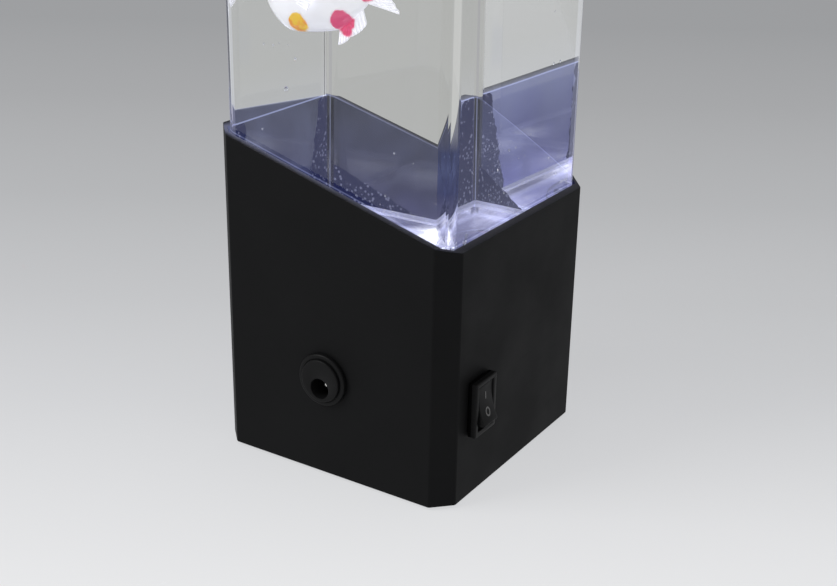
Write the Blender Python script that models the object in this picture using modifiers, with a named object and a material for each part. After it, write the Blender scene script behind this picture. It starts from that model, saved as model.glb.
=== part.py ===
# Jellyfish lamp: a black base with a slanted rim, a clear square tank of water,
# a black cap with the same slant mirrored, and figures that drift in the tank.
# Metres, +Z up. The origin is on the table under the middle of the base.
# -Y is the face with the power jack and +X the face with the switch.

import math

import bmesh
import bpy
from mathutils import Matrix, Vector

# Clearances
GAP = 0.0003  # between pieces that touch
RUNNING_GAP = 0.0001  # round a turning pin
OVERRUN = 0.002  # how far a cutter runs past a wall
JOIN = 0.0006  # how far a joined shape runs into its neighbour
SHAFT_FLOAT = 0.0005  # free play above and below what turns

# Base housing
BASE_SIDE = 0.076
BASE_CHAMFER = 0.0052
SHELL_WALL = 0.0015
RIM_WALL = 0.0023  # the wall round the tank, above the ledge and in the cap
RIM_LOW = 0.0721  # housing height on the switch face
RIM_HIGH = 0.0934  # housing height on the opposite face
FOOT_STAND = 0.0008  # the housing's lower edge above the table
LEDGE_THICKNESS = 0.003
LEDGE_LIP = 0.0018  # how far the ledge reaches inside the tank wall
LAMP_HEIGHT = 0.258

# Bottom plate, its screws and feet
PLATE_THICKNESS = 0.002
PLATE_RECESS = 0.0005
BOSS_RADIUS = 0.0034
BOSS_INSET = 0.0057  # boss centre from the inner wall, along X and Y
BOSS_WEB = 0.0024
BOSS_HEIGHT = 0.013
SCREW_SHANK_RADIUS = 0.00125
SCREW_HEAD_RADIUS = 0.0024
SCREW_HEAD_HEIGHT = 0.001
SCREW_REACH = 0.008
FOOT_RADIUS = 0.005
FOOT_POCKET = 0.0007
FOOT_INSET = 0.014

# Tank
TANK_WALL = 0.002
FLOOR_HEIGHT = 0.060  # top of the tank floor above the housing's lower edge
FLOOR_THICKNESS = 0.003
TUBE_BELOW_FLOOR = 0.002
GASKET_THICKNESS = 0.001
TOP_PLATE_THICKNESS = 0.003
WELL_RADIUS = 0.0155
WELL_DEPTH = 0.008
WELL_WALL = 0.0022
WELL_BOTTOM = 0.0015

# Impeller, its pin and cover
COVER_STEP = 0.0018
COVER_THICKNESS = 0.0013
COVER_NOZZLE_RADIUS = 0.0024
COVER_SLOT_WIDTH = 0.0016
COVER_SLOT_COUNT = 8
PIN_RADIUS = 0.001
PIN_BOSS_WALL = 0.0011
PIN_BOSS_HEIGHT = 0.001
IMPELLER_RADIUS = 0.0125
IMPELLER_DISC = 0.0024
IMPELLER_HUB_WALL = 0.0014
VANE_COUNT = 6
VANE_THICKNESS = 0.001
VANE_HEIGHT = 0.0017
DRIVE_MAGNET_RADIUS = 0.0024
DRIVE_MAGNET_THICKNESS = 0.0016
MAGNET_CIRCLE_RADIUS = 0.0078

# Magnet hub, motor and its mount
MAGNET_AIR_GAP = 0.0012
HUB_RADIUS = 0.013
HUB_THICKNESS = 0.0034
COLLAR_RADIUS = 0.0034
COLLAR_HEIGHT = 0.003
SHAFT_RADIUS = 0.001
SHAFT_IN_MOTOR = 0.006
MOTOR_RADIUS = 0.012
MOTOR_HEIGHT = 0.019
MOTOR_NOSE_RADIUS = 0.003
MOTOR_NOSE_HEIGHT = 0.0015
NOSE_TO_COLLAR = 0.0012
TERMINAL_BLOCK_WIDTH = 0.006
TERMINAL_BLOCK_DEPTH = 0.0022
TERMINAL_BLOCK_HEIGHT = 0.005
MOUNT_WALL = 0.002
MOUNT_CUP_DEPTH = 0.012
MOUNT_WEB = 0.002
MOUNT_FLANGE_REACH = 0.0062
MOUNT_FLANGE_THICKNESS = 0.0022
MOUNT_SCREW_REACH = 0.0016

# Light board and what it carries
BOARD_THICKNESS = 0.0016
BOARD_DROP = 0.0024  # length of the posts that hold the board under the ledge
BOARD_EDGE_CLEARANCE = 0.0012
BOARD_RING_WIDTH = 0.0157  # from the round hole to the board's straight edge
POST_RADIUS = 0.0023
POST_INSET = 0.0034
POST_SCREW_RADIUS = 0.0009
POST_SCREW_HEAD_RADIUS = 0.0018
LED_RADIUS = 0.0025
LED_FLANGE_RADIUS = 0.0029
LED_FLANGE_HEIGHT = 0.001
LED_HEIGHT = 0.0075
LED_INSET = 0.0128  # from the board's edges, as the next two insets are
CHIP_LENGTH = 0.009
CHIP_WIDTH = 0.006
CHIP_HEIGHT = 0.0017
CHIP_INSET = 0.0088
SOCKET_LENGTH = 0.014
SOCKET_WIDTH = 0.0045
SOCKET_HEIGHT = 0.005
SOCKET_INSET = 0.0091

# Power jack on the -Y face
JACK_X = -0.0012
JACK_HEIGHT = 0.029  # flange centre above the housing's lower edge
JACK_FLANGE_RADIUS = 0.0075
JACK_FACE_RADIUS = 0.0071
JACK_FLANGE_THICKNESS = 0.0012
JACK_FACE_STAND = 0.0023  # front face from the wall
JACK_EDGE_ROUND = 0.0003
JACK_BARREL_RADIUS = 0.0056
JACK_BARREL_LENGTH = 0.0115
JACK_BORE_RADIUS = 0.0029
JACK_BORE_DROP = 0.0022  # the socket sits below the flange centre
JACK_BORE_DEPTH = 0.0105
JACK_PIN_RADIUS = 0.00105
JACK_PIN_RECESS = 0.0028
JACK_PIN_TAIL = 0.003
NUT_RADIUS = 0.0081
NUT_THICKNESS = 0.0025
LUG_WIDTH = 0.003
LUG_THICKNESS = 0.0006
LUG_LENGTH = 0.004
LUG_RISE = 0.0034

# Rocker switch on the +X face
SWITCH_INSET = 0.0121  # switch centre from the -Y side of the base
SWITCH_HEIGHT = 0.0274  # switch centre above the housing's lower edge
FRAME_WIDTH = 0.0105
FRAME_LENGTH = 0.0158
FRAME_STAND = 0.0014
FRAME_BEVEL = 0.0004
SWITCH_BODY_WIDTH = 0.009
SWITCH_BODY_LENGTH = 0.0142
SWITCH_BODY_DEPTH = 0.011
POCKET_WIDTH = 0.0076
POCKET_LENGTH = 0.013
POCKET_DEPTH = 0.0066
ROCKER_WIDTH = 0.0070
ROCKER_HALF_LENGTH = 0.0056
ROCKER_END_RISE = 0.0031  # ends of the face above the pivot
ROCKER_MIDDLE_RISE = 0.0023
ROCKER_WAIST_HALF_LENGTH = 0.0059
ROCKER_WAIST_RISE = 0.0008
ROCKER_ROOT_HALF_LENGTH = 0.0032
ROCKER_ROOT_DROP = 0.0020
ROCKER_PIVOT_DEPTH = 0.0031  # pivot behind the front of the frame
ROCKER_PIN_RADIUS = 0.0008
ROCKER_PIN_REACH = 0.0007
ROCKER_TILT = math.radians(11)
TERMINAL_WIDTH = 0.0042
TERMINAL_THICKNESS = 0.0008
TERMINAL_LENGTH = 0.006
TERMINAL_SPREAD = 0.0036

# Cap and filling plug
CAP_SHORT_SIDE = 0.026  # cap height on the switch face
CAP_TOP_THICKNESS = 0.002
CAP_HEADROOM = 0.009  # between the tank's top and the cap's underside
CAP_SEAT_REACH = 0.0032
PLUG_RADIUS = 0.009
PLUG_HEAD_REACH = 0.0022
PLUG_HEAD_HEIGHT = 0.0028
PLUG_BELOW = 0.0012

# Wires inside the base
WIRE_RADIUS = 0.0007
WIRE_WALL_INSET = 0.013  # the side runs of the wires from the inner wall
WIRE_LOW_DROP = 0.0055
WIRE_END_SPACING = 0.0026
WIRE_STUB = 0.0028
WIRE_STEPS = 4

# Figures in the tank
FISH_LENGTH = 0.031
FISH_HEIGHT = 0.020
FISH_THICKNESS = 0.0115
FISH_PLACE_SHARES = (-0.197, -0.234, 0.37)  # of the tank's inner side twice, and of the water's height
FISH_TAIL_LENGTH = 0.010
FISH_TAIL_HEIGHT = 0.014
FISH_FIN_THICKNESS = 0.0014
FISH_KEEL_LENGTH = 0.006
FISH_KEEL_DROP = 0.0045
FISH_BACK_FIN_LENGTH = 0.012
FISH_BACK_FIN_RISE = 0.0042
JELLYFISH_PLACE_SHARES = ((0.246, 0.216, 0.705), (-0.237, 0.231, 0.569))
JELLYFISH_RADII = (0.0125, 0.0108)
BELL_HEIGHT_SHARE = 0.82
BELL_SKIRT_SHARE = 0.18
ARM_COUNT = 5
ARM_LENGTH_SHARE = 2.0
ARM_CIRCLE_SHARE = 0.42
ARM_RADIUS_SHARE = 0.10
ARM_TIP_SHARE = 0.45
ARM_SWAY_SHARE = 0.16

ROUND_SEGMENTS = 24
SMALL_SEGMENTS = 16
TUBE_RINGS = 6
SHARP_ANGLE = math.radians(35)

# Heights and widths that follow from the sizes above
INNER_SIDE = BASE_SIDE - 2 * SHELL_WALL
TANK_SEAT_SIDE = BASE_SIDE - 2 * RIM_WALL
TUBE_SIDE = TANK_SEAT_SIDE - 2 * GAP
TANK_INNER_SIDE = TUBE_SIDE - 2 * TANK_WALL
FLOOR_TOP = FOOT_STAND + FLOOR_HEIGHT
FLOOR_BOTTOM = FLOOR_TOP - FLOOR_THICKNESS
TUBE_BOTTOM = FLOOR_BOTTOM - TUBE_BELOW_FLOOR
GASKET_TOP = TUBE_BOTTOM - GAP
LEDGE_TOP = GASKET_TOP - GASKET_THICKNESS - GAP
LEDGE_BOTTOM = LEDGE_TOP - LEDGE_THICKNESS
LEDGE_OPENING = TANK_INNER_SIDE - 2 * LEDGE_LIP
PLATE_BOTTOM = FOOT_STAND + PLATE_RECESS
PLATE_TOP = PLATE_BOTTOM + PLATE_THICKNESS
BOSS_PLACE = INNER_SIDE / 2 - BOSS_INSET
BOARD_TOP = LEDGE_BOTTOM - BOARD_DROP - GAP
BOARD_BOTTOM = BOARD_TOP - BOARD_THICKNESS
BOARD_SIDE = INNER_SIDE - 2 * BOARD_EDGE_CLEARANCE
LED_PLACE = BOARD_SIDE / 2 - LED_INSET
CHIP_PLACE = BOARD_SIDE / 2 - CHIP_INSET
SOCKET_PLACE = BOARD_SIDE / 2 - SOCKET_INSET
WELL_FLOOR = FLOOR_TOP - WELL_DEPTH
CUP_BOTTOM = WELL_FLOOR - WELL_BOTTOM
HUB_TOP = CUP_BOTTOM - MAGNET_AIR_GAP
HUB_BOTTOM = HUB_TOP - HUB_THICKNESS
COLLAR_BOTTOM = HUB_BOTTOM - COLLAR_HEIGHT
MOTOR_TOP = COLLAR_BOTTOM - NOSE_TO_COLLAR - MOTOR_NOSE_HEIGHT
MOTOR_BOTTOM = MOTOR_TOP - MOTOR_HEIGHT
MOUNT_BOTTOM = PLATE_TOP + GAP
MOUNT_OUTER_RADIUS = MOTOR_RADIUS + GAP + MOUNT_WALL
MOUNT_FLOOR = MOTOR_BOTTOM - GAP
TUBE_TOP = LAMP_HEIGHT - CAP_TOP_THICKNESS - CAP_HEADROOM
CAP_LONG_SIDE = CAP_SHORT_SIDE + RIM_HIGH - RIM_LOW
WALL_OUTSIDE = BASE_SIDE / 2
JACK_Z = FOOT_STAND + JACK_HEIGHT
SWITCH_Y = SWITCH_INSET - BASE_SIDE / 2
SWITCH_Z = FOOT_STAND + SWITCH_HEIGHT
FRAME_FRONT = WALL_OUTSIDE + GAP + FRAME_STAND
PIVOT_X = FRAME_FRONT - ROCKER_PIVOT_DEPTH
SWITCH_BACK = WALL_OUTSIDE - SWITCH_BODY_DEPTH

# Unit directions and turns
TOWARDS_FRONT = Matrix.Rotation(math.radians(90), 4, "X")  # local +Z becomes -Y
TOWARDS_RIGHT = Matrix.Rotation(math.radians(90), 4, "Y")  # local +Z becomes +X


def clear_scene():
    for old in list(bpy.data.objects):
        bpy.data.objects.remove(old, do_unlink=True)


def new_collection(name):
    made = bpy.data.collections.new(name)
    bpy.context.scene.collection.children.link(made)
    return made


clear_scene()
PARTS = new_collection("jellyfish_lamp")
CUTTERS = new_collection("cutters")


def finish(name, colour, roughness, metallic=0.0, alpha=1.0):
    """A Principled material with the given plain values."""
    made = bpy.data.materials.new(name)
    made.use_nodes = True
    shader = made.node_tree.nodes["Principled BSDF"]
    shader.inputs["Base Color"].default_value = (*colour, 1.0)
    shader.inputs["Roughness"].default_value = roughness
    shader.inputs["Metallic"].default_value = metallic
    shader.inputs["Alpha"].default_value = alpha
    made.diffuse_color = (*colour, alpha)
    return made


BLACK_SHELL = finish("black_shell", (0.012, 0.012, 0.013), 0.55)
BLACK_PLATE = finish("black_plate", (0.02, 0.02, 0.021), 0.6)
BLACK_RUBBER = finish("black_rubber", (0.03, 0.03, 0.03), 0.8)
SCREW_STEEL = finish("screw_steel", (0.6, 0.6, 0.62), 0.35, 1.0)
BRIGHT_NICKEL = finish("bright_nickel", (0.75, 0.74, 0.7), 0.2, 1.0)
CONTACT_BRASS = finish("contact_brass", (0.75, 0.6, 0.25), 0.3, 1.0)
MOTOR_STEEL = finish("motor_steel", (0.55, 0.56, 0.58), 0.35, 1.0)
BOARD_GREEN = finish("board_green", (0.02, 0.16, 0.06), 0.45)
LED_LENS = finish("led_lens", (0.85, 0.9, 1.0), 0.1)
WHITE_NYLON = finish("white_nylon", (0.8, 0.8, 0.76), 0.45)
CLEAR_ACRYLIC = finish("clear_acrylic", (0.92, 0.95, 0.97), 0.03, 0.0, 0.25)
MAGNET_DARK = finish("magnet_dark", (0.12, 0.12, 0.13), 0.4, 0.6)
FISH_WHITE = finish("fish_white", (0.85, 0.85, 0.86), 0.25)
JELLY_PINK = finish("jelly_pink", (0.9, 0.35, 0.55), 0.25, 0.0, 0.6)
JELLY_YELLOW = finish("jelly_yellow", (0.95, 0.7, 0.15), 0.25, 0.0, 0.6)
WIRE_RED = finish("wire_red", (0.6, 0.03, 0.02), 0.4)
WIRE_BLACK = finish("wire_black", (0.02, 0.02, 0.02), 0.4)


def add_object(name, shape, material):
    """Turns a bmesh or a mesh into an object: a part if it has a material, or else a cutter."""
    if isinstance(shape, bmesh.types.BMesh):
        data = bpy.data.meshes.new(name)
        bmesh.ops.recalc_face_normals(shape, faces=shape.faces)
        shape.to_mesh(data)
        shape.free()
    else:
        data = shape
        data.name = name
    made = bpy.data.objects.new(name, data)
    if material:
        data.materials.clear()
        data.materials.append(material)
        PARTS.objects.link(made)
    else:
        made.hide_render = True
        made.display_type = "WIRE"
        CUTTERS.objects.link(made)
    return made


def shade_round(made):
    """Smooth shading but for the rims, where the faces meet at a sharp angle."""
    made.data.shade_smooth()
    made.data.set_sharp_from_angle(angle=SHARP_ANGLE)


def combine(target, other, operation):
    step = target.modifiers.new(other.name, "BOOLEAN")
    step.operation = operation
    step.solver = "EXACT"
    step.object = other


def cut(target, *others):
    for other in others:
        combine(target, other, "DIFFERENCE")


def join(target, *others):
    for other in others:
        combine(target, other, "UNION")


def block(name, low, high, material=None, chamfer=0.0):
    """A box between two corners, with its four upright edges chamfered if asked."""
    shape = bmesh.new()
    bmesh.ops.create_cube(shape, size=1.0)
    size = Vector(high) - Vector(low)
    middle = (Vector(high) + Vector(low)) / 2
    bmesh.ops.scale(shape, vec=size, verts=shape.verts)
    bmesh.ops.translate(shape, vec=middle, verts=shape.verts)
    if chamfer:
        flat = size.z / 2
        upright = [edge for edge in shape.edges if abs(edge.verts[0].co.z - edge.verts[1].co.z) > flat]
        bmesh.ops.bevel(shape, geom=upright, offset=chamfer, segments=1, profile=0.5, affect="EDGES")
    return add_object(name, shape, material)


def square_block(name, side, bottom, top, chamfer, material=None):
    """A square chamfered column round the lamp's axis."""
    half = side / 2
    return block(name, (-half, -half, bottom), (half, half, top), material, chamfer)


def inset_chamfer(inset):
    """The leg of the base's corner chamfer on an outline that lies inset from it."""
    return BASE_CHAMFER - inset * (2 - math.sqrt(2))


def inner_chamfer(side):
    return inset_chamfer((BASE_SIDE - side) / 2)


def cylinder(name, radius, bottom, top, material=None, place=(0, 0), segments=ROUND_SEGMENTS):
    shape = bmesh.new()
    height = top - bottom
    bmesh.ops.create_cone(
        shape, cap_ends=True, segments=segments, radius1=radius, radius2=radius, depth=height
    )
    bmesh.ops.translate(shape, vec=(place[0], place[1], bottom + height / 2), verts=shape.verts)
    made = add_object(name, shape, material)
    shade_round(made)
    return made


def turned(name, profile, material=None, segments=ROUND_SEGMENTS, closed=False):
    """A profile of (radius, height) points turned round Z. It runs down the outer side."""
    data = bpy.data.meshes.new(name)
    points = [(radius, 0, height) for radius, height in profile]
    links = [(i, i + 1) for i in range(len(points) - 1)]
    if closed:
        links.append((len(points) - 1, 0))
    data.from_pydata(points, links, [])
    made = add_object(name, data, material)
    step = made.modifiers.new("turn", "SCREW")
    step.steps = segments
    step.render_steps = segments
    step.use_merge_vertices = not closed
    step.merge_threshold = GAP / 10
    step.use_smooth_shade = True
    if closed:
        join_ends = made.modifiers.new("close", "WELD")
        join_ends.merge_threshold = GAP / 10
    return made


def from_curve(name, curve, material, matrix=None):
    """The welded mesh of a curve object, which is removed."""
    bpy.context.view_layer.update()
    graph = bpy.context.evaluated_depsgraph_get()
    data = bpy.data.meshes.new_from_object(curve.evaluated_get(graph))
    shape = bmesh.new()
    shape.from_mesh(data)
    bmesh.ops.remove_doubles(shape, verts=shape.verts, dist=GAP / 10)
    if matrix:
        bmesh.ops.transform(shape, matrix=matrix, verts=shape.verts)
    bpy.data.objects.remove(curve, do_unlink=True)
    bpy.data.meshes.remove(data)
    return add_object(name, shape, material)


def flat_outline(name, points, thickness, material=None, matrix=None):
    """A flat outline of (x, y) points with the given thickness, centred on its plane."""
    curve = bpy.data.curves.new(name, "CURVE")
    curve.dimensions = "2D"
    curve.fill_mode = "BOTH"
    curve.extrude = thickness / 2
    spline = curve.splines.new("POLY")
    spline.points.add(len(points) - 1)
    for point, (x, y) in zip(spline.points, points):
        point.co = (x, y, 0, 1)
    spline.use_cyclic_u = True
    holder = bpy.data.objects.new(name, curve)
    CUTTERS.objects.link(holder)
    return from_curve(name, holder, material, matrix)


def curve_through(points, steps):
    """Points on a smooth curve through the given ones, its two ends left straight."""
    path = [Vector(point) for point in points]
    smooth = [path[0]]
    for before, start, end, after in zip(path, path[1:], path[2:], path[3:]):
        for step in range(steps):
            t = step / steps
            smooth.append(
                0.5
                * (
                    2 * start
                    + (end - before) * t
                    + (2 * before - 5 * start + 4 * end - after) * t**2
                    + (3 * start - before - 3 * end + after) * t**3
                )
            )
    smooth += path[-2:]
    return smooth


def round_tube(name, points, radius, material=None, widths=None):
    """A tube along points, of one radius or narrowed by a share at each point."""
    curve = bpy.data.curves.new(name, "CURVE")
    curve.dimensions = "3D"
    curve.bevel_depth = radius
    curve.bevel_resolution = 1 if widths else 2
    curve.use_fill_caps = True
    spline = curve.splines.new("POLY")
    spline.points.add(len(points) - 1)
    for index, point in enumerate(points):
        spline.points[index].co = (*point, 1)
        spline.points[index].radius = widths[index] if widths else 1.0
    made = bpy.data.objects.new(name, curve)
    if material:
        curve.materials.append(material)
        PARTS.objects.link(made)
        return made
    CUTTERS.objects.link(made)
    return from_curve(name, made, None)


def rim_height(x):
    """Height of the housing's slanted rim above the table."""
    return FOOT_STAND + RIM_LOW + (RIM_HIGH - RIM_LOW) * (0.5 - x / BASE_SIDE)


def cap_edge_height(x):
    """Height of the cap's slanted lower edge, the rim's slant mirrored."""
    return LAMP_HEIGHT - CAP_SHORT_SIDE - (RIM_HIGH - RIM_LOW) * (0.5 - x / BASE_SIDE)


def slant(made, height, upper):
    """Moves the block's upper or lower points to a height that depends on x."""
    middle = sum(vertex.co.z for vertex in made.data.vertices) / len(made.data.vertices)
    for vertex in made.data.vertices:
        if (vertex.co.z > middle) == upper:
            vertex.co.z = height(vertex.co.x)


def corners(place):
    return [(x * place, y * place) for x in (-1, 1) for y in (-1, 1)]


def place_in_tank(shares):
    """A place in the water, from shares of the tank's inner side and of the water's height."""
    across, depth, height = shares
    water_height = TUBE_TOP - TOP_PLATE_THICKNESS - FLOOR_TOP
    return Vector((across * TANK_INNER_SIDE, depth * TANK_INNER_SIDE, FLOOR_TOP + height * water_height))


def make_housing():
    housing = square_block(
        "base_housing", BASE_SIDE, FOOT_STAND, FOOT_STAND + RIM_HIGH, BASE_CHAMFER, BLACK_SHELL
    )
    slant(housing, rim_height, upper=True)
    inside = inner_chamfer(INNER_SIDE)
    over_rim = FOOT_STAND + RIM_HIGH + OVERRUN
    seat_chamfer = inner_chamfer(TANK_SEAT_SIDE)
    upper = square_block("housing_upper_room", TANK_SEAT_SIDE, LEDGE_TOP, over_rim, seat_chamfer)
    lower = square_block("housing_lower_room", INNER_SIDE, FOOT_STAND - OVERRUN, LEDGE_BOTTOM, inside)
    opening = square_block(
        "housing_ledge_opening",
        LEDGE_OPENING,
        LEDGE_BOTTOM - OVERRUN,
        LEDGE_TOP + OVERRUN,
        inner_chamfer(LEDGE_OPENING),
    )
    cut(housing, upper, lower, opening)
    add_plate_bosses(housing)
    add_board_posts(housing)
    jack_hole = cylinder("jack_hole", JACK_BARREL_RADIUS + GAP, -SHELL_WALL - OVERRUN, OVERRUN)
    jack_hole.matrix_world = Matrix.Translation((JACK_X, -WALL_OUTSIDE, JACK_Z)) @ TOWARDS_FRONT
    half_width = SWITCH_BODY_WIDTH / 2 + GAP
    half_length = SWITCH_BODY_LENGTH / 2 + GAP
    switch_hole = block(
        "switch_hole",
        (WALL_OUTSIDE - SHELL_WALL - OVERRUN, SWITCH_Y - half_width, SWITCH_Z - half_length),
        (WALL_OUTSIDE + OVERRUN, SWITCH_Y + half_width, SWITCH_Z + half_length),
    )
    cut(housing, jack_hole, switch_hole)


def add_plate_bosses(housing):
    """Four screw bosses in the corners, each tied to the corner chamfer by a web."""
    bottom = PLATE_TOP + GAP
    top = bottom + BOSS_HEIGHT
    chamfer_distance = (INNER_SIDE - inner_chamfer(INNER_SIDE)) / math.sqrt(2)
    web_length = chamfer_distance - BOSS_PLACE * math.sqrt(2) + JOIN
    for number, (x, y) in enumerate(corners(BOSS_PLACE), 1):
        boss = cylinder(f"boss_{number}", BOSS_RADIUS, bottom, top, None, (x, y), SMALL_SEGMENTS)
        web = block(
            f"boss_web_{number}", (0, -BOSS_WEB / 2, bottom), (web_length, BOSS_WEB / 2, top)
        )
        web.matrix_world = Matrix.Translation((x, y, 0)) @ Matrix.Rotation(math.atan2(y, x), 4, "Z")
        join(housing, boss, web)
    for number, place in enumerate(corners(BOSS_PLACE), 1):
        hole = cylinder(
            f"boss_hole_{number}",
            SCREW_SHANK_RADIUS + GAP,
            bottom - OVERRUN,
            bottom + SCREW_REACH + OVERRUN,
            None,
            place,
            SMALL_SEGMENTS,
        )
        cut(housing, hole)


def board_posts():
    place = INNER_SIDE / 2 - POST_INSET
    return [(-place, 0), (place, 0)]


def add_board_posts(housing):
    """Two short posts under the ledge that the light board screws to."""
    for number, place in enumerate(board_posts(), 1):
        post = cylinder(
            f"post_{number}",
            POST_RADIUS,
            BOARD_TOP + GAP,
            LEDGE_BOTTOM + JOIN,
            None,
            place,
            SMALL_SEGMENTS,
        )
        join(housing, post)
        hole = cylinder(
            f"post_hole_{number}",
            POST_SCREW_RADIUS + GAP,
            BOARD_TOP - OVERRUN,
            LEDGE_BOTTOM + LEDGE_THICKNESS / 2,
            None,
            place,
            SMALL_SEGMENTS,
        )
        cut(housing, hole)


def foot_place():
    return INNER_SIDE / 2 - FOOT_INSET


def mount_screw_places():
    reach = MOUNT_OUTER_RADIUS + MOUNT_FLANGE_REACH / 2
    return [(-reach, 0), (reach, 0)]


def make_bottom_plate():
    side = INNER_SIDE - 2 * GAP
    plate = square_block(
        "bottom_plate", side, PLATE_BOTTOM, PLATE_TOP, inner_chamfer(side), BLACK_PLATE
    )
    head_room = SCREW_HEAD_HEIGHT + GAP
    for number, place in enumerate(corners(BOSS_PLACE), 1):
        hole = cylinder(
            f"plate_hole_{number}",
            SCREW_SHANK_RADIUS + GAP,
            PLATE_BOTTOM - OVERRUN,
            PLATE_TOP + OVERRUN,
            None,
            place,
            SMALL_SEGMENTS,
        )
        sink = cylinder(
            f"plate_sink_{number}",
            SCREW_HEAD_RADIUS + GAP,
            PLATE_BOTTOM - OVERRUN,
            PLATE_BOTTOM + head_room,
            None,
            place,
            SMALL_SEGMENTS,
        )
        cut(plate, hole, sink)
    for number, place in enumerate(corners(foot_place()), 1):
        pocket = cylinder(
            f"foot_pocket_{number}",
            FOOT_RADIUS + GAP,
            PLATE_BOTTOM - OVERRUN,
            PLATE_BOTTOM + FOOT_POCKET,
            None,
            place,
        )
        cut(plate, pocket)
    for number, place in enumerate(mount_screw_places(), 1):
        hole = cylinder(
            f"mount_hole_{number}",
            SCREW_SHANK_RADIUS + GAP,
            PLATE_BOTTOM - OVERRUN,
            PLATE_TOP + OVERRUN,
            None,
            place,
            SMALL_SEGMENTS,
        )
        cut(plate, hole)


def screw(name, place, seat, reach, shank, head, upward):
    """A pan screw whose head bears at the seat height; the shank runs up or down from it."""
    profile = [
        (0, reach),
        (shank * 0.6, reach),
        (shank, reach - shank * 0.6),
        (shank, 0),
        (head, 0),
        (head, -SCREW_HEAD_HEIGHT * 0.7),
        (head * 0.8, -SCREW_HEAD_HEIGHT),
        (0, -SCREW_HEAD_HEIGHT),
    ]
    made = turned(name, profile, SCREW_STEEL, SMALL_SEGMENTS)
    made.location = (place[0], place[1], seat)
    if not upward:
        made.rotation_euler = (math.pi, 0, 0)


def make_screws_and_feet():
    for number, place in enumerate(corners(BOSS_PLACE), 1):
        seat = PLATE_BOTTOM + SCREW_HEAD_HEIGHT
        screw(
            f"plate_screw_{number}", place, seat, SCREW_REACH, SCREW_SHANK_RADIUS, SCREW_HEAD_RADIUS, True
        )
    for number, place in enumerate(board_posts(), 1):
        reach = BOARD_THICKNESS + BOARD_DROP
        seat = BOARD_BOTTOM - GAP
        screw(
            f"board_screw_{number}", place, seat, reach, POST_SCREW_RADIUS, POST_SCREW_HEAD_RADIUS, True
        )
    for number, place in enumerate(mount_screw_places(), 1):
        seat = MOUNT_BOTTOM + MOUNT_FLANGE_THICKNESS + GAP
        reach = MOUNT_FLANGE_THICKNESS + MOUNT_SCREW_REACH
        screw(
            f"mount_screw_{number}", place, seat, reach, SCREW_SHANK_RADIUS, SCREW_HEAD_RADIUS, False
        )
    top = PLATE_BOTTOM + FOOT_POCKET - GAP
    soft_edge = PLATE_RECESS * 0.6
    profile = [
        (0, top),
        (FOOT_RADIUS, top),
        (FOOT_RADIUS, soft_edge),
        (FOOT_RADIUS - soft_edge, 0),
        (0, 0),
    ]
    for number, (x, y) in enumerate(corners(foot_place()), 1):
        foot = turned(f"rubber_foot_{number}", profile, BLACK_RUBBER, SMALL_SEGMENTS)
        foot.location = (x, y, 0)


def make_jack():
    """The jack's parts, made along +Z with the wall's outer face at zero, then turned to -Y."""
    place = Matrix.Translation((JACK_X, -WALL_OUTSIDE, JACK_Z)) @ TOWARDS_FRONT
    front = JACK_FACE_STAND
    back = -JACK_BARREL_LENGTH
    bore_floor = front - JACK_BORE_DEPTH
    flange_front = GAP + JACK_FLANGE_THICKNESS
    profile = [
        (0, front),
        (JACK_FACE_RADIUS - JACK_EDGE_ROUND, front),
        (JACK_FACE_RADIUS, front - JACK_EDGE_ROUND),
        (JACK_FACE_RADIUS, flange_front),
        (JACK_FLANGE_RADIUS, flange_front - JACK_EDGE_ROUND),
        (JACK_FLANGE_RADIUS, GAP),
        (JACK_BARREL_RADIUS, GAP),
        (JACK_BARREL_RADIUS, back),
        (0, back),
    ]
    housing = turned("jack_housing", profile, BLACK_PLATE)
    housing.matrix_world = place
    drop = (0, -JACK_BORE_DROP)
    bore = cylinder("jack_bore", JACK_BORE_RADIUS, bore_floor, front + OVERRUN, None, drop)
    tail_hole = cylinder(
        "jack_tail_hole",
        JACK_PIN_RADIUS + GAP,
        back - OVERRUN,
        bore_floor + OVERRUN,
        None,
        drop,
        SMALL_SEGMENTS,
    )
    bore.matrix_world = place
    tail_hole.matrix_world = place
    cut(housing, bore, tail_hole)

    tip = front - JACK_PIN_RECESS
    tail = back - JACK_PIN_TAIL
    pin_profile = [
        (0, tip),
        (JACK_PIN_RADIUS * 0.6, tip - JACK_PIN_RADIUS * 0.15),
        (JACK_PIN_RADIUS, tip - JACK_PIN_RADIUS * 0.7),
        (JACK_PIN_RADIUS, tail),
        (0, tail),
    ]
    pin = turned("jack_pin", pin_profile, BRIGHT_NICKEL, SMALL_SEGMENTS)
    pin.matrix_world = place @ Matrix.Translation((0, -JACK_BORE_DROP, 0))

    nut_top = -SHELL_WALL - GAP
    nut = cylinder("jack_nut", NUT_RADIUS, nut_top - NUT_THICKNESS, nut_top, BRIGHT_NICKEL, (0, 0), 6)
    nut.matrix_world = place
    thread = cylinder(
        "nut_thread", JACK_BARREL_RADIUS + GAP, nut_top - NUT_THICKNESS - OVERRUN, nut_top + OVERRUN
    )
    thread.matrix_world = place
    cut(nut, thread)

    lug = block(
        "jack_lug",
        (-LUG_WIDTH / 2, LUG_RISE - LUG_THICKNESS / 2, back - GAP - LUG_LENGTH),
        (LUG_WIDTH / 2, LUG_RISE + LUG_THICKNESS / 2, back - GAP),
        CONTACT_BRASS,
    )
    lug.matrix_world = place


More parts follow.
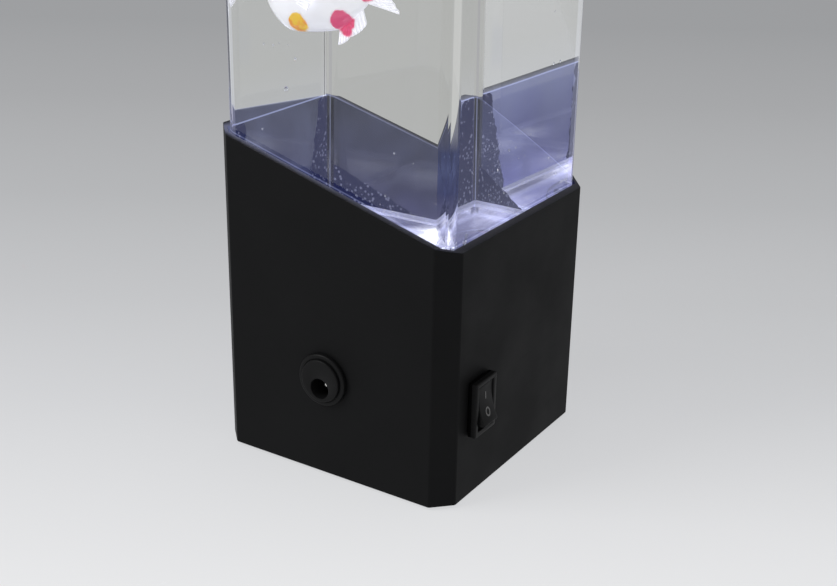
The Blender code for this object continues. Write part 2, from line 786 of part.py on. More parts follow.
def make_switch():
    half_width = FRAME_WIDTH / 2
    half_length = FRAME_LENGTH / 2
    frame = block(
        "switch_frame",
        (WALL_OUTSIDE + GAP, SWITCH_Y - half_width, SWITCH_Z - half_length),
        (FRAME_FRONT, SWITCH_Y + half_width, SWITCH_Z + half_length),
        BLACK_PLATE,
    )
    shape = bmesh.new()
    shape.from_mesh(frame.data)
    front = [edge for edge in shape.edges if min(v.co.x for v in edge.verts) > FRAME_FRONT - FRAME_BEVEL]
    bmesh.ops.bevel(shape, geom=front, offset=FRAME_BEVEL, segments=1, profile=0.5, affect="EDGES")
    shape.to_mesh(frame.data)
    shape.free()
    body_half = SWITCH_BODY_WIDTH / 2
    body_length = SWITCH_BODY_LENGTH / 2
    body = block(
        "switch_body",
        (SWITCH_BACK, SWITCH_Y - body_half, SWITCH_Z - body_length),
        (WALL_OUTSIDE + GAP + JOIN, SWITCH_Y + body_half, SWITCH_Z + body_length),
    )
    join(frame, body)
    pocket = block(
        "switch_pocket",
        (FRAME_FRONT - POCKET_DEPTH, SWITCH_Y - POCKET_WIDTH / 2, SWITCH_Z - POCKET_LENGTH / 2),
        (FRAME_FRONT + OVERRUN, SWITCH_Y + POCKET_WIDTH / 2, SWITCH_Z + POCKET_LENGTH / 2),
    )
    across = Matrix.Translation((PIVOT_X, SWITCH_Y, SWITCH_Z)) @ TOWARDS_FRONT
    hole_reach = body_half + OVERRUN
    pin_hole = cylinder(
        "rocker_pin_hole",
        ROCKER_PIN_RADIUS + RUNNING_GAP,
        -hole_reach,
        hole_reach,
        None,
        (0, 0),
        SMALL_SEGMENTS,
    )
    pin_hole.matrix_world = across
    cut(frame, pocket, pin_hole)

    outline = [
        (ROCKER_END_RISE, ROCKER_HALF_LENGTH),
        (ROCKER_MIDDLE_RISE, 0),
        (ROCKER_END_RISE, -ROCKER_HALF_LENGTH),
        (ROCKER_WAIST_RISE, -ROCKER_WAIST_HALF_LENGTH),
        (-ROCKER_ROOT_DROP, -ROCKER_ROOT_HALF_LENGTH),
        (-ROCKER_ROOT_DROP, ROCKER_ROOT_HALF_LENGTH),
        (ROCKER_WAIST_RISE, ROCKER_WAIST_HALF_LENGTH),
    ]
    rocker = flat_outline("switch_rocker", outline, ROCKER_WIDTH, BLACK_PLATE, TOWARDS_FRONT)
    reach = ROCKER_WIDTH / 2 + ROCKER_PIN_REACH
    stub = cylinder("rocker_stub", ROCKER_PIN_RADIUS, -reach, reach, None, (0, 0), SMALL_SEGMENTS)
    pressed_on = Matrix.Rotation(-ROCKER_TILT, 4, "Y")
    rocker.matrix_world = Matrix.Translation((PIVOT_X, SWITCH_Y, SWITCH_Z)) @ pressed_on
    stub.matrix_world = across
    join(rocker, stub)

    for number, side in enumerate((-1, 1), 1):
        middle = SWITCH_Z + side * TERMINAL_SPREAD
        block(
            f"switch_terminal_{number}",
            (
                SWITCH_BACK - GAP - TERMINAL_LENGTH,
                SWITCH_Y - TERMINAL_WIDTH / 2,
                middle - TERMINAL_THICKNESS / 2,
            ),
            (SWITCH_BACK - GAP, SWITCH_Y + TERMINAL_WIDTH / 2, middle + TERMINAL_THICKNESS / 2),
            CONTACT_BRASS,
        )


def make_light_board():
    boss_reach = 2 * BOSS_PLACE - math.sqrt(2) * (BOSS_RADIUS + BOARD_EDGE_CLEARANCE)
    chamfer = BOARD_SIDE - boss_reach
    board = square_block("led_board", BOARD_SIDE, BOARD_BOTTOM, BOARD_TOP, chamfer, BOARD_GREEN)
    middle_hole = cylinder(
        "board_middle_hole",
        BOARD_SIDE / 2 - BOARD_RING_WIDTH,
        BOARD_BOTTOM - OVERRUN,
        BOARD_TOP + OVERRUN,
    )
    cut(board, middle_hole)
    for number, place in enumerate(board_posts(), 1):
        hole = cylinder(
            f"board_hole_{number}",
            POST_SCREW_RADIUS + GAP,
            BOARD_BOTTOM - OVERRUN,
            BOARD_TOP + OVERRUN,
            None,
            place,
            SMALL_SEGMENTS,
        )
        cut(board, hole)
    dome = [
        (LED_RADIUS * math.sin(turn), LED_HEIGHT - LED_RADIUS * (1 - math.cos(turn)))
        for turn in (math.radians(angle) for angle in (0, 22.5, 45, 67.5, 90))
    ]
    profile = [*dome, (LED_RADIUS, LED_FLANGE_HEIGHT), (LED_FLANGE_RADIUS, LED_FLANGE_HEIGHT)]
    profile += [(LED_FLANGE_RADIUS, 0), (0, 0)]
    for number, (x, y) in enumerate(corners(LED_PLACE), 1):
        led = turned(f"led_{number}", profile, LED_LENS, SMALL_SEGMENTS)
        led.location = (x, y, BOARD_TOP + GAP)
    under = BOARD_BOTTOM - GAP
    block(
        "control_chip",
        (-CHIP_LENGTH / 2, -CHIP_PLACE - CHIP_WIDTH / 2, under - CHIP_HEIGHT),
        (CHIP_LENGTH / 2, -CHIP_PLACE + CHIP_WIDTH / 2, under),
        BLACK_PLATE,
    )
    block(
        "wire_socket",
        (-SOCKET_LENGTH / 2, SOCKET_PLACE - SOCKET_WIDTH / 2, under - SOCKET_HEIGHT),
        (SOCKET_LENGTH / 2, SOCKET_PLACE + SOCKET_WIDTH / 2, under),
        WHITE_NYLON,
    )


def make_motor():
    inner = MOTOR_RADIUS + GAP
    skirt_inner = MOTOR_RADIUS - MOUNT_WALL
    web_hole = MOTOR_NOSE_RADIUS + GAP
    flange_top = MOUNT_BOTTOM + MOUNT_FLANGE_THICKNESS
    flange_radius = MOUNT_OUTER_RADIUS + MOUNT_FLANGE_REACH
    cup_top = MOUNT_FLOOR + MOUNT_CUP_DEPTH
    profile = [
        (MOUNT_OUTER_RADIUS, cup_top),
        (MOUNT_OUTER_RADIUS, flange_top),
        (flange_radius, flange_top),
        (flange_radius, MOUNT_BOTTOM),
        (skirt_inner, MOUNT_BOTTOM),
        (skirt_inner, MOUNT_FLOOR - MOUNT_WEB),
        (web_hole, MOUNT_FLOOR - MOUNT_WEB),
        (web_hole, MOUNT_FLOOR),
        (inner, MOUNT_FLOOR),
        (inner, cup_top),
    ]
    mount = turned("motor_mount", profile, BLACK_PLATE, closed=True)
    half = TERMINAL_BLOCK_WIDTH / 2 + RUNNING_GAP + GAP
    window = block(
        "mount_window",
        (-half, 0, MOUNT_FLOOR - MOUNT_WEB - OVERRUN),
        (half, flange_radius, cup_top + OVERRUN),
    )
    cut(mount, window)
    for number, place in enumerate(mount_screw_places(), 1):
        hole = cylinder(
            f"flange_hole_{number}",
            SCREW_SHANK_RADIUS + GAP,
            MOUNT_BOTTOM - OVERRUN,
            flange_top + OVERRUN,
            None,
            place,
            SMALL_SEGMENTS,
        )
        cut(mount, hole)

    edge = MOTOR_NOSE_HEIGHT / 3
    nose_top = MOTOR_TOP + MOTOR_NOSE_HEIGHT
    motor_profile = [
        (0, nose_top),
        (MOTOR_NOSE_RADIUS, nose_top),
        (MOTOR_NOSE_RADIUS, MOTOR_TOP),
        (MOTOR_RADIUS - edge, MOTOR_TOP),
        (MOTOR_RADIUS, MOTOR_TOP - edge),
        (MOTOR_RADIUS, MOTOR_BOTTOM),
        (0, MOTOR_BOTTOM),
    ]
    motor = turned("drive_motor", motor_profile, MOTOR_STEEL)
    terminals = block(
        "motor_terminal_block",
        (-TERMINAL_BLOCK_WIDTH / 2, MOTOR_RADIUS - JOIN, MOTOR_BOTTOM + JOIN),
        (
            TERMINAL_BLOCK_WIDTH / 2,
            MOTOR_RADIUS + TERMINAL_BLOCK_DEPTH,
            MOTOR_BOTTOM + JOIN + TERMINAL_BLOCK_HEIGHT,
        ),
    )
    join(motor, terminals)
    bore = cylinder(
        "motor_bore",
        SHAFT_RADIUS + RUNNING_GAP,
        nose_top - SHAFT_IN_MOTOR - SHAFT_FLOAT,
        nose_top + OVERRUN,
        None,
        (0, 0),
        SMALL_SEGMENTS,
    )
    cut(motor, bore)
    shaft_top = HUB_TOP - HUB_THICKNESS / 4
    cylinder(
        "motor_shaft",
        SHAFT_RADIUS,
        nose_top - SHAFT_IN_MOTOR,
        shaft_top,
        SCREW_STEEL,
        (0, 0),
        SMALL_SEGMENTS,
    )


def magnet_places():
    return [(-MAGNET_CIRCLE_RADIUS, 0), (MAGNET_CIRCLE_RADIUS, 0)]


def make_magnet_hub():
    shaft_hole = SHAFT_RADIUS + GAP
    profile = [
        (HUB_RADIUS, HUB_TOP),
        (HUB_RADIUS, HUB_BOTTOM),
        (COLLAR_RADIUS, HUB_BOTTOM),
        (COLLAR_RADIUS, COLLAR_BOTTOM),
        (shaft_hole, COLLAR_BOTTOM),
        (shaft_hole, HUB_TOP),
    ]
    hub = turned("magnet_hub", profile, WHITE_NYLON, closed=True)
    for number, place in enumerate(magnet_places(), 1):
        pocket = cylinder(
            f"hub_pocket_{number}",
            DRIVE_MAGNET_RADIUS + GAP,
            HUB_TOP - DRIVE_MAGNET_THICKNESS - GAP,
            HUB_TOP + OVERRUN,
            None,
            place,
            SMALL_SEGMENTS,
        )
        cut(hub, pocket)
        cylinder(
            f"hub_magnet_{number}",
            DRIVE_MAGNET_RADIUS,
            HUB_TOP - DRIVE_MAGNET_THICKNESS,
            HUB_TOP,
            MAGNET_DARK,
            place,
            SMALL_SEGMENTS,
        )


def make_tank():
    tube = square_block(
        "tank_tube", TUBE_SIDE, TUBE_BOTTOM, TUBE_TOP, inner_chamfer(TUBE_SIDE), CLEAR_ACRYLIC
    )
    tube_room = square_block(
        "tank_room",
        TANK_INNER_SIDE,
        TUBE_BOTTOM - OVERRUN,
        TUBE_TOP + OVERRUN,
        inner_chamfer(TANK_INNER_SIDE),
    )
    cut(tube, tube_room)

    plate_side = TANK_INNER_SIDE - 2 * GAP
    chamfer = inner_chamfer(plate_side)
    floor = square_block("tank_floor", plate_side, FLOOR_BOTTOM, FLOOR_TOP, chamfer, CLEAR_ACRYLIC)
    cup = cylinder("well_cup", WELL_RADIUS + WELL_WALL, CUP_BOTTOM, FLOOR_BOTTOM + JOIN)
    well = cylinder("well_room", WELL_RADIUS, WELL_FLOOR, FLOOR_TOP + OVERRUN)
    step = cylinder(
        "cover_step", WELL_RADIUS + COVER_STEP, FLOOR_TOP - COVER_THICKNESS - GAP, FLOOR_TOP + OVERRUN
    )
    boss_radius = PIN_RADIUS + GAP + PIN_BOSS_WALL
    boss_top = WELL_FLOOR + PIN_BOSS_HEIGHT
    pin_boss = cylinder(
        "pin_boss", boss_radius, WELL_FLOOR - JOIN, boss_top, None, (0, 0), SMALL_SEGMENTS
    )
    pin_hole = cylinder(
        "pin_hole", PIN_RADIUS + GAP, WELL_FLOOR, boss_top + OVERRUN, None, (0, 0), SMALL_SEGMENTS
    )
    join(floor, cup)
    cut(floor, well, step)
    join(floor, pin_boss)
    cut(floor, pin_hole)

    top = square_block(
        "tank_top", plate_side, TUBE_TOP - TOP_PLATE_THICKNESS, TUBE_TOP, chamfer, CLEAR_ACRYLIC
    )
    fill_hole = cylinder(
        "fill_hole", PLUG_RADIUS + GAP, TUBE_TOP - TOP_PLATE_THICKNESS - OVERRUN, TUBE_TOP + OVERRUN
    )
    cut(top, fill_hole)

    gasket_bottom = GASKET_TOP - GASKET_THICKNESS
    gasket = square_block(
        "tank_gasket", TUBE_SIDE, gasket_bottom, GASKET_TOP, inner_chamfer(TUBE_SIDE), BLACK_RUBBER
    )
    gasket_room = square_block(
        "gasket_room",
        TANK_INNER_SIDE,
        gasket_bottom - OVERRUN,
        GASKET_TOP + OVERRUN,
        inner_chamfer(TANK_INNER_SIDE),
    )
    cut(gasket, gasket_room)


def make_impeller():
    pin_top = FLOOR_TOP - COVER_THICKNESS - 2 * GAP
    bottom = WELL_FLOOR + PIN_BOSS_HEIGHT + GAP
    disc_top = bottom + IMPELLER_DISC
    vane_top = disc_top + VANE_HEIGHT
    hole = PIN_RADIUS + RUNNING_GAP
    hub = hole + IMPELLER_HUB_WALL
    profile = [
        (hub, vane_top),
        (hub, disc_top),
        (IMPELLER_RADIUS, disc_top),
        (IMPELLER_RADIUS, bottom),
        (hole, bottom),
        (hole, vane_top),
    ]
    impeller = turned("impeller", profile, WHITE_NYLON, closed=True)
    for number in range(VANE_COUNT):
        vane = block(
            f"vane_{number + 1}",
            (hub - JOIN, -VANE_THICKNESS / 2, disc_top - JOIN),
            (IMPELLER_RADIUS - JOIN, VANE_THICKNESS / 2, vane_top),
        )
        vane.rotation_euler = (0, 0, math.tau * (number + 0.5) / VANE_COUNT)
        join(impeller, vane)
    for number, place in enumerate(magnet_places(), 1):
        pocket = cylinder(
            f"impeller_pocket_{number}",
            DRIVE_MAGNET_RADIUS + GAP,
            bottom - OVERRUN,
            bottom + DRIVE_MAGNET_THICKNESS + GAP,
            None,
            place,
            SMALL_SEGMENTS,
        )
        cut(impeller, pocket)
        cylinder(
            f"impeller_magnet_{number}",
            DRIVE_MAGNET_RADIUS,
            bottom,
            bottom + DRIVE_MAGNET_THICKNESS,
            MAGNET_DARK,
            place,
            SMALL_SEGMENTS,
        )
    cylinder(
        "impeller_pin", PIN_RADIUS, WELL_FLOOR + GAP, pin_top, SCREW_STEEL, (0, 0), SMALL_SEGMENTS
    )

    cover_bottom = FLOOR_TOP - COVER_THICKNESS
    cover = cylinder(
        "impeller_cover", WELL_RADIUS + COVER_STEP - GAP, cover_bottom, FLOOR_TOP, CLEAR_ACRYLIC
    )
    nozzle = cylinder(
        "cover_nozzle", COVER_NOZZLE_RADIUS, cover_bottom - OVERRUN, FLOOR_TOP + OVERRUN
    )
    cut(cover, nozzle)
    slot_start = COVER_NOZZLE_RADIUS * 2
    slot_end = WELL_RADIUS - COVER_SLOT_WIDTH
    for number in range(COVER_SLOT_COUNT):
        slot = block(
            f"cover_slot_{number + 1}",
            (slot_start, -COVER_SLOT_WIDTH / 2, cover_bottom - OVERRUN),
            (slot_end, COVER_SLOT_WIDTH / 2, FLOOR_TOP + OVERRUN),
        )
        slot.rotation_euler = (0, 0, math.tau * number / COVER_SLOT_COUNT)
        cut(cover, slot)


def make_cap():
    bottom = LAMP_HEIGHT - CAP_LONG_SIDE
    cap = square_block("cap_shell", BASE_SIDE, bottom, LAMP_HEIGHT, BASE_CHAMFER, BLACK_SHELL)
    slant(cap, cap_edge_height, upper=False)
    seat_bottom = TUBE_TOP + GAP
    room = square_block(
        "cap_room", TANK_SEAT_SIDE, bottom - OVERRUN, seat_bottom, inner_chamfer(TANK_SEAT_SIDE)
    )
    seat_side = TANK_SEAT_SIDE - 2 * CAP_SEAT_REACH
    upper_room = square_block(
        "cap_upper_room",
        seat_side,
        seat_bottom - OVERRUN,
        LAMP_HEIGHT - CAP_TOP_THICKNESS,
        inner_chamfer(seat_side),
    )
    cut(cap, room, upper_room)

    seat = TUBE_TOP + GAP
    head_radius = PLUG_RADIUS + PLUG_HEAD_REACH
    head_top = seat + PLUG_HEAD_HEIGHT
    soft = PLUG_HEAD_HEIGHT / 4
    plug_bottom = TUBE_TOP - TOP_PLATE_THICKNESS - PLUG_BELOW
    profile = [
        (0, head_top),
        (head_radius - soft, head_top),
        (head_radius, head_top - soft),
        (head_radius, seat),
        (PLUG_RADIUS, seat),
        (PLUG_RADIUS, plug_bottom + PLUG_BELOW / 2),
        (PLUG_RADIUS - PLUG_BELOW / 2, plug_bottom),
        (0, plug_bottom),
    ]
    turned("fill_plug", profile, BLACK_RUBBER)


def make_fish():
    """A plump fish with its nose towards -X, a fan tail, a back fin and a small keel fin."""
    shape = bmesh.new()
    bmesh.ops.create_uvsphere(shape, u_segments=16, v_segments=10, radius=0.5)
    bmesh.ops.rotate(shape, matrix=TOWARDS_RIGHT.to_3x3(), verts=shape.verts)
    for vertex in shape.verts:
        along = vertex.co.x + 0.5  # 0 at the nose, 1 at the tail
        narrowing = 1 - 0.45 * along**3
        vertex.co.x *= FISH_LENGTH
        vertex.co.y *= FISH_THICKNESS * narrowing
        vertex.co.z *= FISH_HEIGHT * narrowing
    fish = add_object("fish_figure", shape, FISH_WHITE)
    shade_round(fish)
    place = Matrix.Translation(place_in_tank(FISH_PLACE_SHARES))
    fish.matrix_world = place
    tail_root = FISH_LENGTH * 0.42
    tail_end = FISH_LENGTH / 2 + FISH_TAIL_LENGTH
    half = FISH_TAIL_HEIGHT / 2
    tail = [
        (tail_root, FISH_HEIGHT * 0.12),
        (FISH_LENGTH / 2 + FISH_TAIL_LENGTH * 0.35, half * 0.55),
        (tail_end, half),
        (tail_end - FISH_TAIL_LENGTH * 0.25, 0),
        (tail_end, -half),
        (FISH_LENGTH / 2 + FISH_TAIL_LENGTH * 0.35, -half * 0.55),
        (tail_root, -FISH_HEIGHT * 0.12),
    ]
    belly = -FISH_HEIGHT * 0.40
    keel_start = FISH_LENGTH * 0.08
    keel = [
        (keel_start, belly),
        (keel_start + FISH_KEEL_LENGTH * 0.35, belly - FISH_HEIGHT * 0.05),
        (keel_start + FISH_KEEL_LENGTH * 0.45, belly - FISH_KEEL_DROP),
        (keel_start + FISH_KEEL_LENGTH * 0.7, belly - FISH_KEEL_DROP * 0.9),
        (keel_start + FISH_KEEL_LENGTH, belly + FISH_HEIGHT * 0.05),
    ]
    back = FISH_HEIGHT * 0.40
    back_fin = [
        (-FISH_BACK_FIN_LENGTH / 2, back),
        (-FISH_BACK_FIN_LENGTH * 0.3, back + FISH_BACK_FIN_RISE * 0.9),
        (FISH_BACK_FIN_LENGTH * 0.1, back + FISH_BACK_FIN_RISE),
        (FISH_BACK_FIN_LENGTH / 2, back - FISH_HEIGHT * 0.03),
    ]
    for name, outline in (("fish_tail", tail), ("fish_keel", keel), ("fish_back_fin", back_fin)):
        fin = flat_outline(name, outline[::-1], FISH_FIN_THICKNESS, None, TOWARDS_FRONT)
        fin.matrix_world = place
        join(fish, fin)


def make_jellyfish():
    """Soft bells with a hollow underside, each with trailing arms."""
    finishes = (JELLY_PINK, JELLY_YELLOW)
    for number, (shares, radius) in enumerate(zip(JELLYFISH_PLACE_SHARES, JELLYFISH_RADII), 1):
        place = place_in_tank(shares)
        height = radius * BELL_HEIGHT_SHARE
        skirt = radius * BELL_SKIRT_SHARE
        turns = [math.radians(angle) for angle in (0, 22.5, 45, 67.5, 90)]
        outer = [(radius * math.sin(turn), height * math.cos(turn)) for turn in turns]
        under_radius = radius - skirt
        under_height = height * 0.55
        under = [(under_radius * math.sin(turn), under_height * math.cos(turn) - skirt) for turn in turns]
        profile = [*outer, (radius - skirt / 2, -skirt), *under[::-1]]
        bell = turned(f"jellyfish_{number}", profile, finishes[number - 1], SMALL_SEGMENTS)
        bell.location = place
        arm_circle = radius * ARM_CIRCLE_SHARE
        arm_top = under_height - skirt + height * 0.1
        for arm in range(ARM_COUNT):
            angle = math.tau * arm / ARM_COUNT + number
            length = radius * ARM_LENGTH_SHARE * (1 - 0.18 * (arm % 2))
            points = []
            for step in range(TUBE_RINGS):
                share = step / (TUBE_RINGS - 1)
                sway = radius * ARM_SWAY_SHARE * math.sin(share * math.tau * 0.8 + arm)
                reach = arm_circle * (1 - 0.2 * share)
                points.append(
                    (
                        reach * math.cos(angle) - sway * share * math.sin(angle),
                        reach * math.sin(angle) + sway * share * math.cos(angle),
                        arm_top - (length + arm_top) * share,
                    )
                )
            widths = [1 - (1 - ARM_TIP_SHARE) * step / (TUBE_RINGS - 1) for step in range(TUBE_RINGS)]
            tube = round_tube(
                f"jellyfish_{number}_arm_{arm + 1}", points, radius * ARM_RADIUS_SHARE, None, widths
            )
            tube.matrix_world = Matrix.Translation(place)
            join(bell, tube)


def make_wires():
    """Wires between the jack, the switch, the motor and the socket under the light board."""
    socket_bottom = BOARD_BOTTOM - GAP - SOCKET_HEIGHT - GAP
    turn_height = socket_bottom - WIRE_LOW_DROP

    def socket_end(slot):
        x = WIRE_END_SPACING * slot
        return [(x, SOCKET_PLACE, socket_bottom - WIRE_STUB), (x, SOCKET_PLACE, socket_bottom)]

    side_x = INNER_SIDE / 2 - WIRE_WALL_INSET
    lug_tip = -WALL_OUTSIDE + JACK_BARREL_LENGTH + GAP + LUG_LENGTH + GAP
    pin_tip = -WALL_OUTSIDE + JACK_BARREL_LENGTH + JACK_PIN_TAIL + GAP
    lug_z = JACK_Z + LUG_RISE
    pin_z = JACK_Z - JACK_BORE_DROP
    tab_tip = SWITCH_BACK - TERMINAL_LENGTH - 2 * GAP
    low_tab = SWITCH_Z - TERMINAL_SPREAD
    high_tab = SWITCH_Z + TERMINAL_SPREAD
    block_face = MOTOR_RADIUS + TERMINAL_BLOCK_DEPTH + GAP
    block_z = MOTOR_BOTTOM + JOIN + TERMINAL_BLOCK_HEIGHT / 2
    jack_to_board = [
        (JACK_X, lug_tip, lug_z),
        (JACK_X, lug_tip + WIRE_STUB / 2, lug_z),
        (-side_x * 0.75, lug_tip + WIRE_STUB / 2, lug_z + WIRE_STUB),
        (-side_x, 0, turn_height),
        (-side_x * 0.7, SOCKET_PLACE * 0.75, turn_height),
        *socket_end(-2),
    ]
    jack_to_switch = [
        (JACK_X, pin_tip, pin_z),
        (JACK_X, pin_tip + WIRE_STUB / 2, pin_z),
        (side_x * 0.3, pin_tip - WIRE_STUB / 2, pin_z - WIRE_LOW_DROP),
        (tab_tip - WIRE_STUB, SWITCH_Y, low_tab - WIRE_STUB / 2),
        (tab_tip, SWITCH_Y, low_tab),
    ]
    switch_to_board = [
        (tab_tip, SWITCH_Y, high_tab),
        (tab_tip - WIRE_STUB / 2, SWITCH_Y, high_tab),
        (side_x * 0.88, SWITCH_Y * 0.55, high_tab + WIRE_STUB / 2),
        (side_x, 0, turn_height - WIRE_STUB),
        (side_x * 0.7, SOCKET_PLACE * 0.75, turn_height),
        *socket_end(2),
    ]
    side = TERMINAL_BLOCK_WIDTH / 4
    motor_red = [
        (-side, block_face, block_z),
        (-side, block_face + WIRE_STUB, block_z),
        (-side, SOCKET_PLACE, (block_z + socket_bottom) / 2),
        *socket_end(-1),
    ]
    motor_black = [
        (side, block_face, block_z),
        (side, block_face + WIRE_STUB, block_z),
        (side, SOCKET_PLACE, (block_z + socket_bottom) / 2),
        *socket_end(1),
    ]
    routes = (
        ("jack_wire", jack_to_board, WIRE_BLACK),
        ("jack_switch_wire", jack_to_switch, WIRE_RED),
        ("switch_wire", switch_to_board, WIRE_RED),
        ("motor_wire_1", motor_red, WIRE_RED),
        ("motor_wire_2", motor_black, WIRE_BLACK),
    )
    for name, points, material in routes:
        round_tube(name, curve_through(points, WIRE_STEPS), WIRE_RADIUS, material)


make_housing()
make_bottom_plate()
make_screws_and_feet()
make_jack()
make_switch()
make_light_board()
make_motor()
make_magnet_hub()
make_tank()
make_impeller()
make_cap()
make_fish()
make_jellyfish()
make_wires()
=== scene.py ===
import math
import random

import bmesh
import bpy
from mathutils import Matrix, Vector


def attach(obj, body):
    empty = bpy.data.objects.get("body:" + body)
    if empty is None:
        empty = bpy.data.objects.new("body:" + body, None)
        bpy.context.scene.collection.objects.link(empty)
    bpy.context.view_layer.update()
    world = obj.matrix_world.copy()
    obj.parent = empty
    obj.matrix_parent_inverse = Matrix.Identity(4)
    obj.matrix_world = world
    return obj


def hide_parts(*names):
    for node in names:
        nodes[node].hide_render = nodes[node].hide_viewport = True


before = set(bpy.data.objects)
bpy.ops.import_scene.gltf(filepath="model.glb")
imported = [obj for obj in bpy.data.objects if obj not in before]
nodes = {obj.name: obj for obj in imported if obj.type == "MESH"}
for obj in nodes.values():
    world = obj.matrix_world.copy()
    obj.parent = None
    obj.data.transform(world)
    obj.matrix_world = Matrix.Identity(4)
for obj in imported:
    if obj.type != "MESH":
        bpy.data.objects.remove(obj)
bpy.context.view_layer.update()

scene = bpy.context.scene
finishes = {}
toFront = Matrix.Rotation(math.radians(90), 4, "X")  # local +Z points at -Y
toRight = Matrix.Rotation(math.radians(90), 4, "Y")  # local +Z points at +X
near = 0.0001  # places this close count as one
same = 0.00001  # points this close are merged
endReach = 0.001  # what lies this close to an end belongs to it
facingLeast = 0.9  # a face looks in a direction from this share of it on
uprightLeast = 0.97  # the same for an edge that stands upright


# Shader maths


def operator(operation, swapped=False):
    def combine(self, other):
        pair = (other, self) if swapped else (self, other)
        return self.math(operation, *pair)

    return combine


class Wire:
    # one socket in a material's tree; sums and products of wires add Math nodes
    __add__ = __radd__ = operator("ADD")
    __sub__ = operator("SUBTRACT")
    __rsub__ = operator("SUBTRACT", swapped=True)
    __mul__ = __rmul__ = operator("MULTIPLY")
    __truediv__ = operator("DIVIDE")
    __gt__ = operator("GREATER_THAN")
    __lt__ = operator("LESS_THAN")

    def __init__(self, tree, socket=None):
        self.tree = tree
        self.socket = socket

    def node(self, kind, settings=None, links=None, output=0):
        made = self.tree.nodes.new("ShaderNode" + kind)
        for key, value in (settings or {}).items():
            if key == "stops":
                fillRamp(made.color_ramp, value)
            else:
                setattr(made, key, value)
        for key, value in (links or {}).items():
            socket = made.inputs[key]
            if isinstance(value, Wire):
                self.tree.links.new(value.socket, socket)
            else:
                socket.default_value = (*value, 1.0) if socket.type == "RGBA" else value
        return Wire(self.tree, made.outputs[output])

    def math(self, operation, first, second=0.0):
        return self.node("Math", {"operation": operation}, {0: first, 1: second})


def fillRamp(ramp, stops):
    while len(ramp.elements) < len(stops):
        ramp.elements.new(1.0)
    for element, (position, colour) in zip(ramp.elements, stops):
        element.position = position
        element.color = (*colour, 1.0)


def fillTree(tree, end, surface):
    tree.nodes.clear()
    made = tree.nodes.new("ShaderNode" + end)
    tree.links.new(surface(Wire(tree)).socket, made.inputs["Surface"])


def newFinish(name, surface):
    material = bpy.data.materials.new(name)
    material.use_nodes = True
    fillTree(material.node_tree, "OutputMaterial", surface)
    finishes[name] = material


def place(n):
    return n.node("TexCoord", output="Object")


def axes(n):
    # x, y and z of a point, in metres
    point = place(n)
    return [n.node("SeparateXYZ", links={0: point}, output=index) for index in range(3)]


def noise(n, scale, detail=2.0, stretch=None):
    # scale is in waves a metre
    where = place(n)
    if stretch:
        where = n.node("Mapping", {"vector_type": "POINT"}, {"Vector": where, "Scale": stretch})
    links = {"Vector": where, "Scale": scale, "Detail": detail}
    return n.node("TexNoise", {"noise_dimensions": "3D"}, links)


def cells(n, scale, feature="F1"):
    return n.node("TexVoronoi", {"feature": feature}, {"Vector": place(n), "Scale": scale})


def ramp(n, value, stops):
    return n.node("ValToRGB", {"stops": stops}, {0: value})


def blend(n, share, low, high):
    return n.node("Mix", {"data_type": "RGBA"}, {0: share, 6: low, 7: high}, output=2)


def scaled(n, colour, share):
    return n.node("VectorMath", {"operation": "SCALE"}, {0: colour, "Scale": share})


def spread(n, value, low, high, start=0.0, end=1.0):
    # takes low..high to start..end and clamps it there
    links = {"Value": value, "From Min": low, "From Max": high, "To Min": start, "To Max": end}
    return n.node("MapRange", {"clamp": True}, links)


def most(n, first, *others):
    for other in others:
        first = n.math("MAXIMUM", first, other)
    return first


def bump(n, height, depth, strength=1.0):
    return n.node("Bump", {}, {"Height": height, "Distance": depth, "Strength": strength})


def principled(n, **given):
    if "Emission_Color" in given:
        given.setdefault("Emission_Strength", 1.0)
    return n.node("BsdfPrincipled", {}, {key.replace("_", " "): value for key, value in given.items()})


def mixed(n, share, first, second):
    return n.node("MixShader", {}, {0: share, 1: first, 2: second})


# Finishes

blacks = {
    # colour, dusty colour, grain in waves a metre, its depth, shine, roughness from and to
    "moulded_black": ((0.0058, 0.0059, 0.0063), (0.010, 0.0105, 0.011), 2400, 0.00002, 0.08, 0.48, 0.58),
    "satin_black": ((0.0052, 0.0053, 0.0056), (0.009, 0.009, 0.010), 1500, 0.00001, 0.11, 0.34, 0.46),
    "black_rubber": ((0.016, 0.016, 0.016), (0.040, 0.040, 0.038), 900, 0.00003, 0.20, 0.60, 0.75),
}
dusting = {
    "clouds": (45, 3.0),
    "cloudRange": (0.35, 0.65),
    "scuffs": (9, 4.0, (14.0, 14.0, 90.0)),
    "scuffRange": (0.60, 0.78),
    "share": 0.22,
    "rough": 0.2,
    "grainStrength": 0.5,
}
metals = {
    # colour, roughness, stretch of the streaks
    "zinc_steel": ((0.62, 0.63, 0.65), 0.32, (20, 20, 20)),
    "bright_nickel": ((0.80, 0.79, 0.76), 0.14, (30, 30, 30)),
    "contact_brass": ((0.78, 0.60, 0.28), 0.28, (10, 60, 60)),
    "drawn_can": ((0.58, 0.59, 0.61), 0.34, (3, 3, 90)),
    "dark_ferrite": ((0.10, 0.10, 0.11), 0.45, (30, 30, 30)),
}
brushing = {
    "streaks": (60, 3.0),
    "streakRange": (0.3, 0.7),
    "stain": (320, 2.0),
    "stainRange": (0.4, 0.7),
    "stainDim": 0.78,
    "roughShares": (0.7, 1.35),
    "depth": 0.00001,
    "strength": 0.4,
}
insulation = {"range": (0.4, 0.7), "grain": (900, 0.00001, 0.5), "Roughness": 0.38}
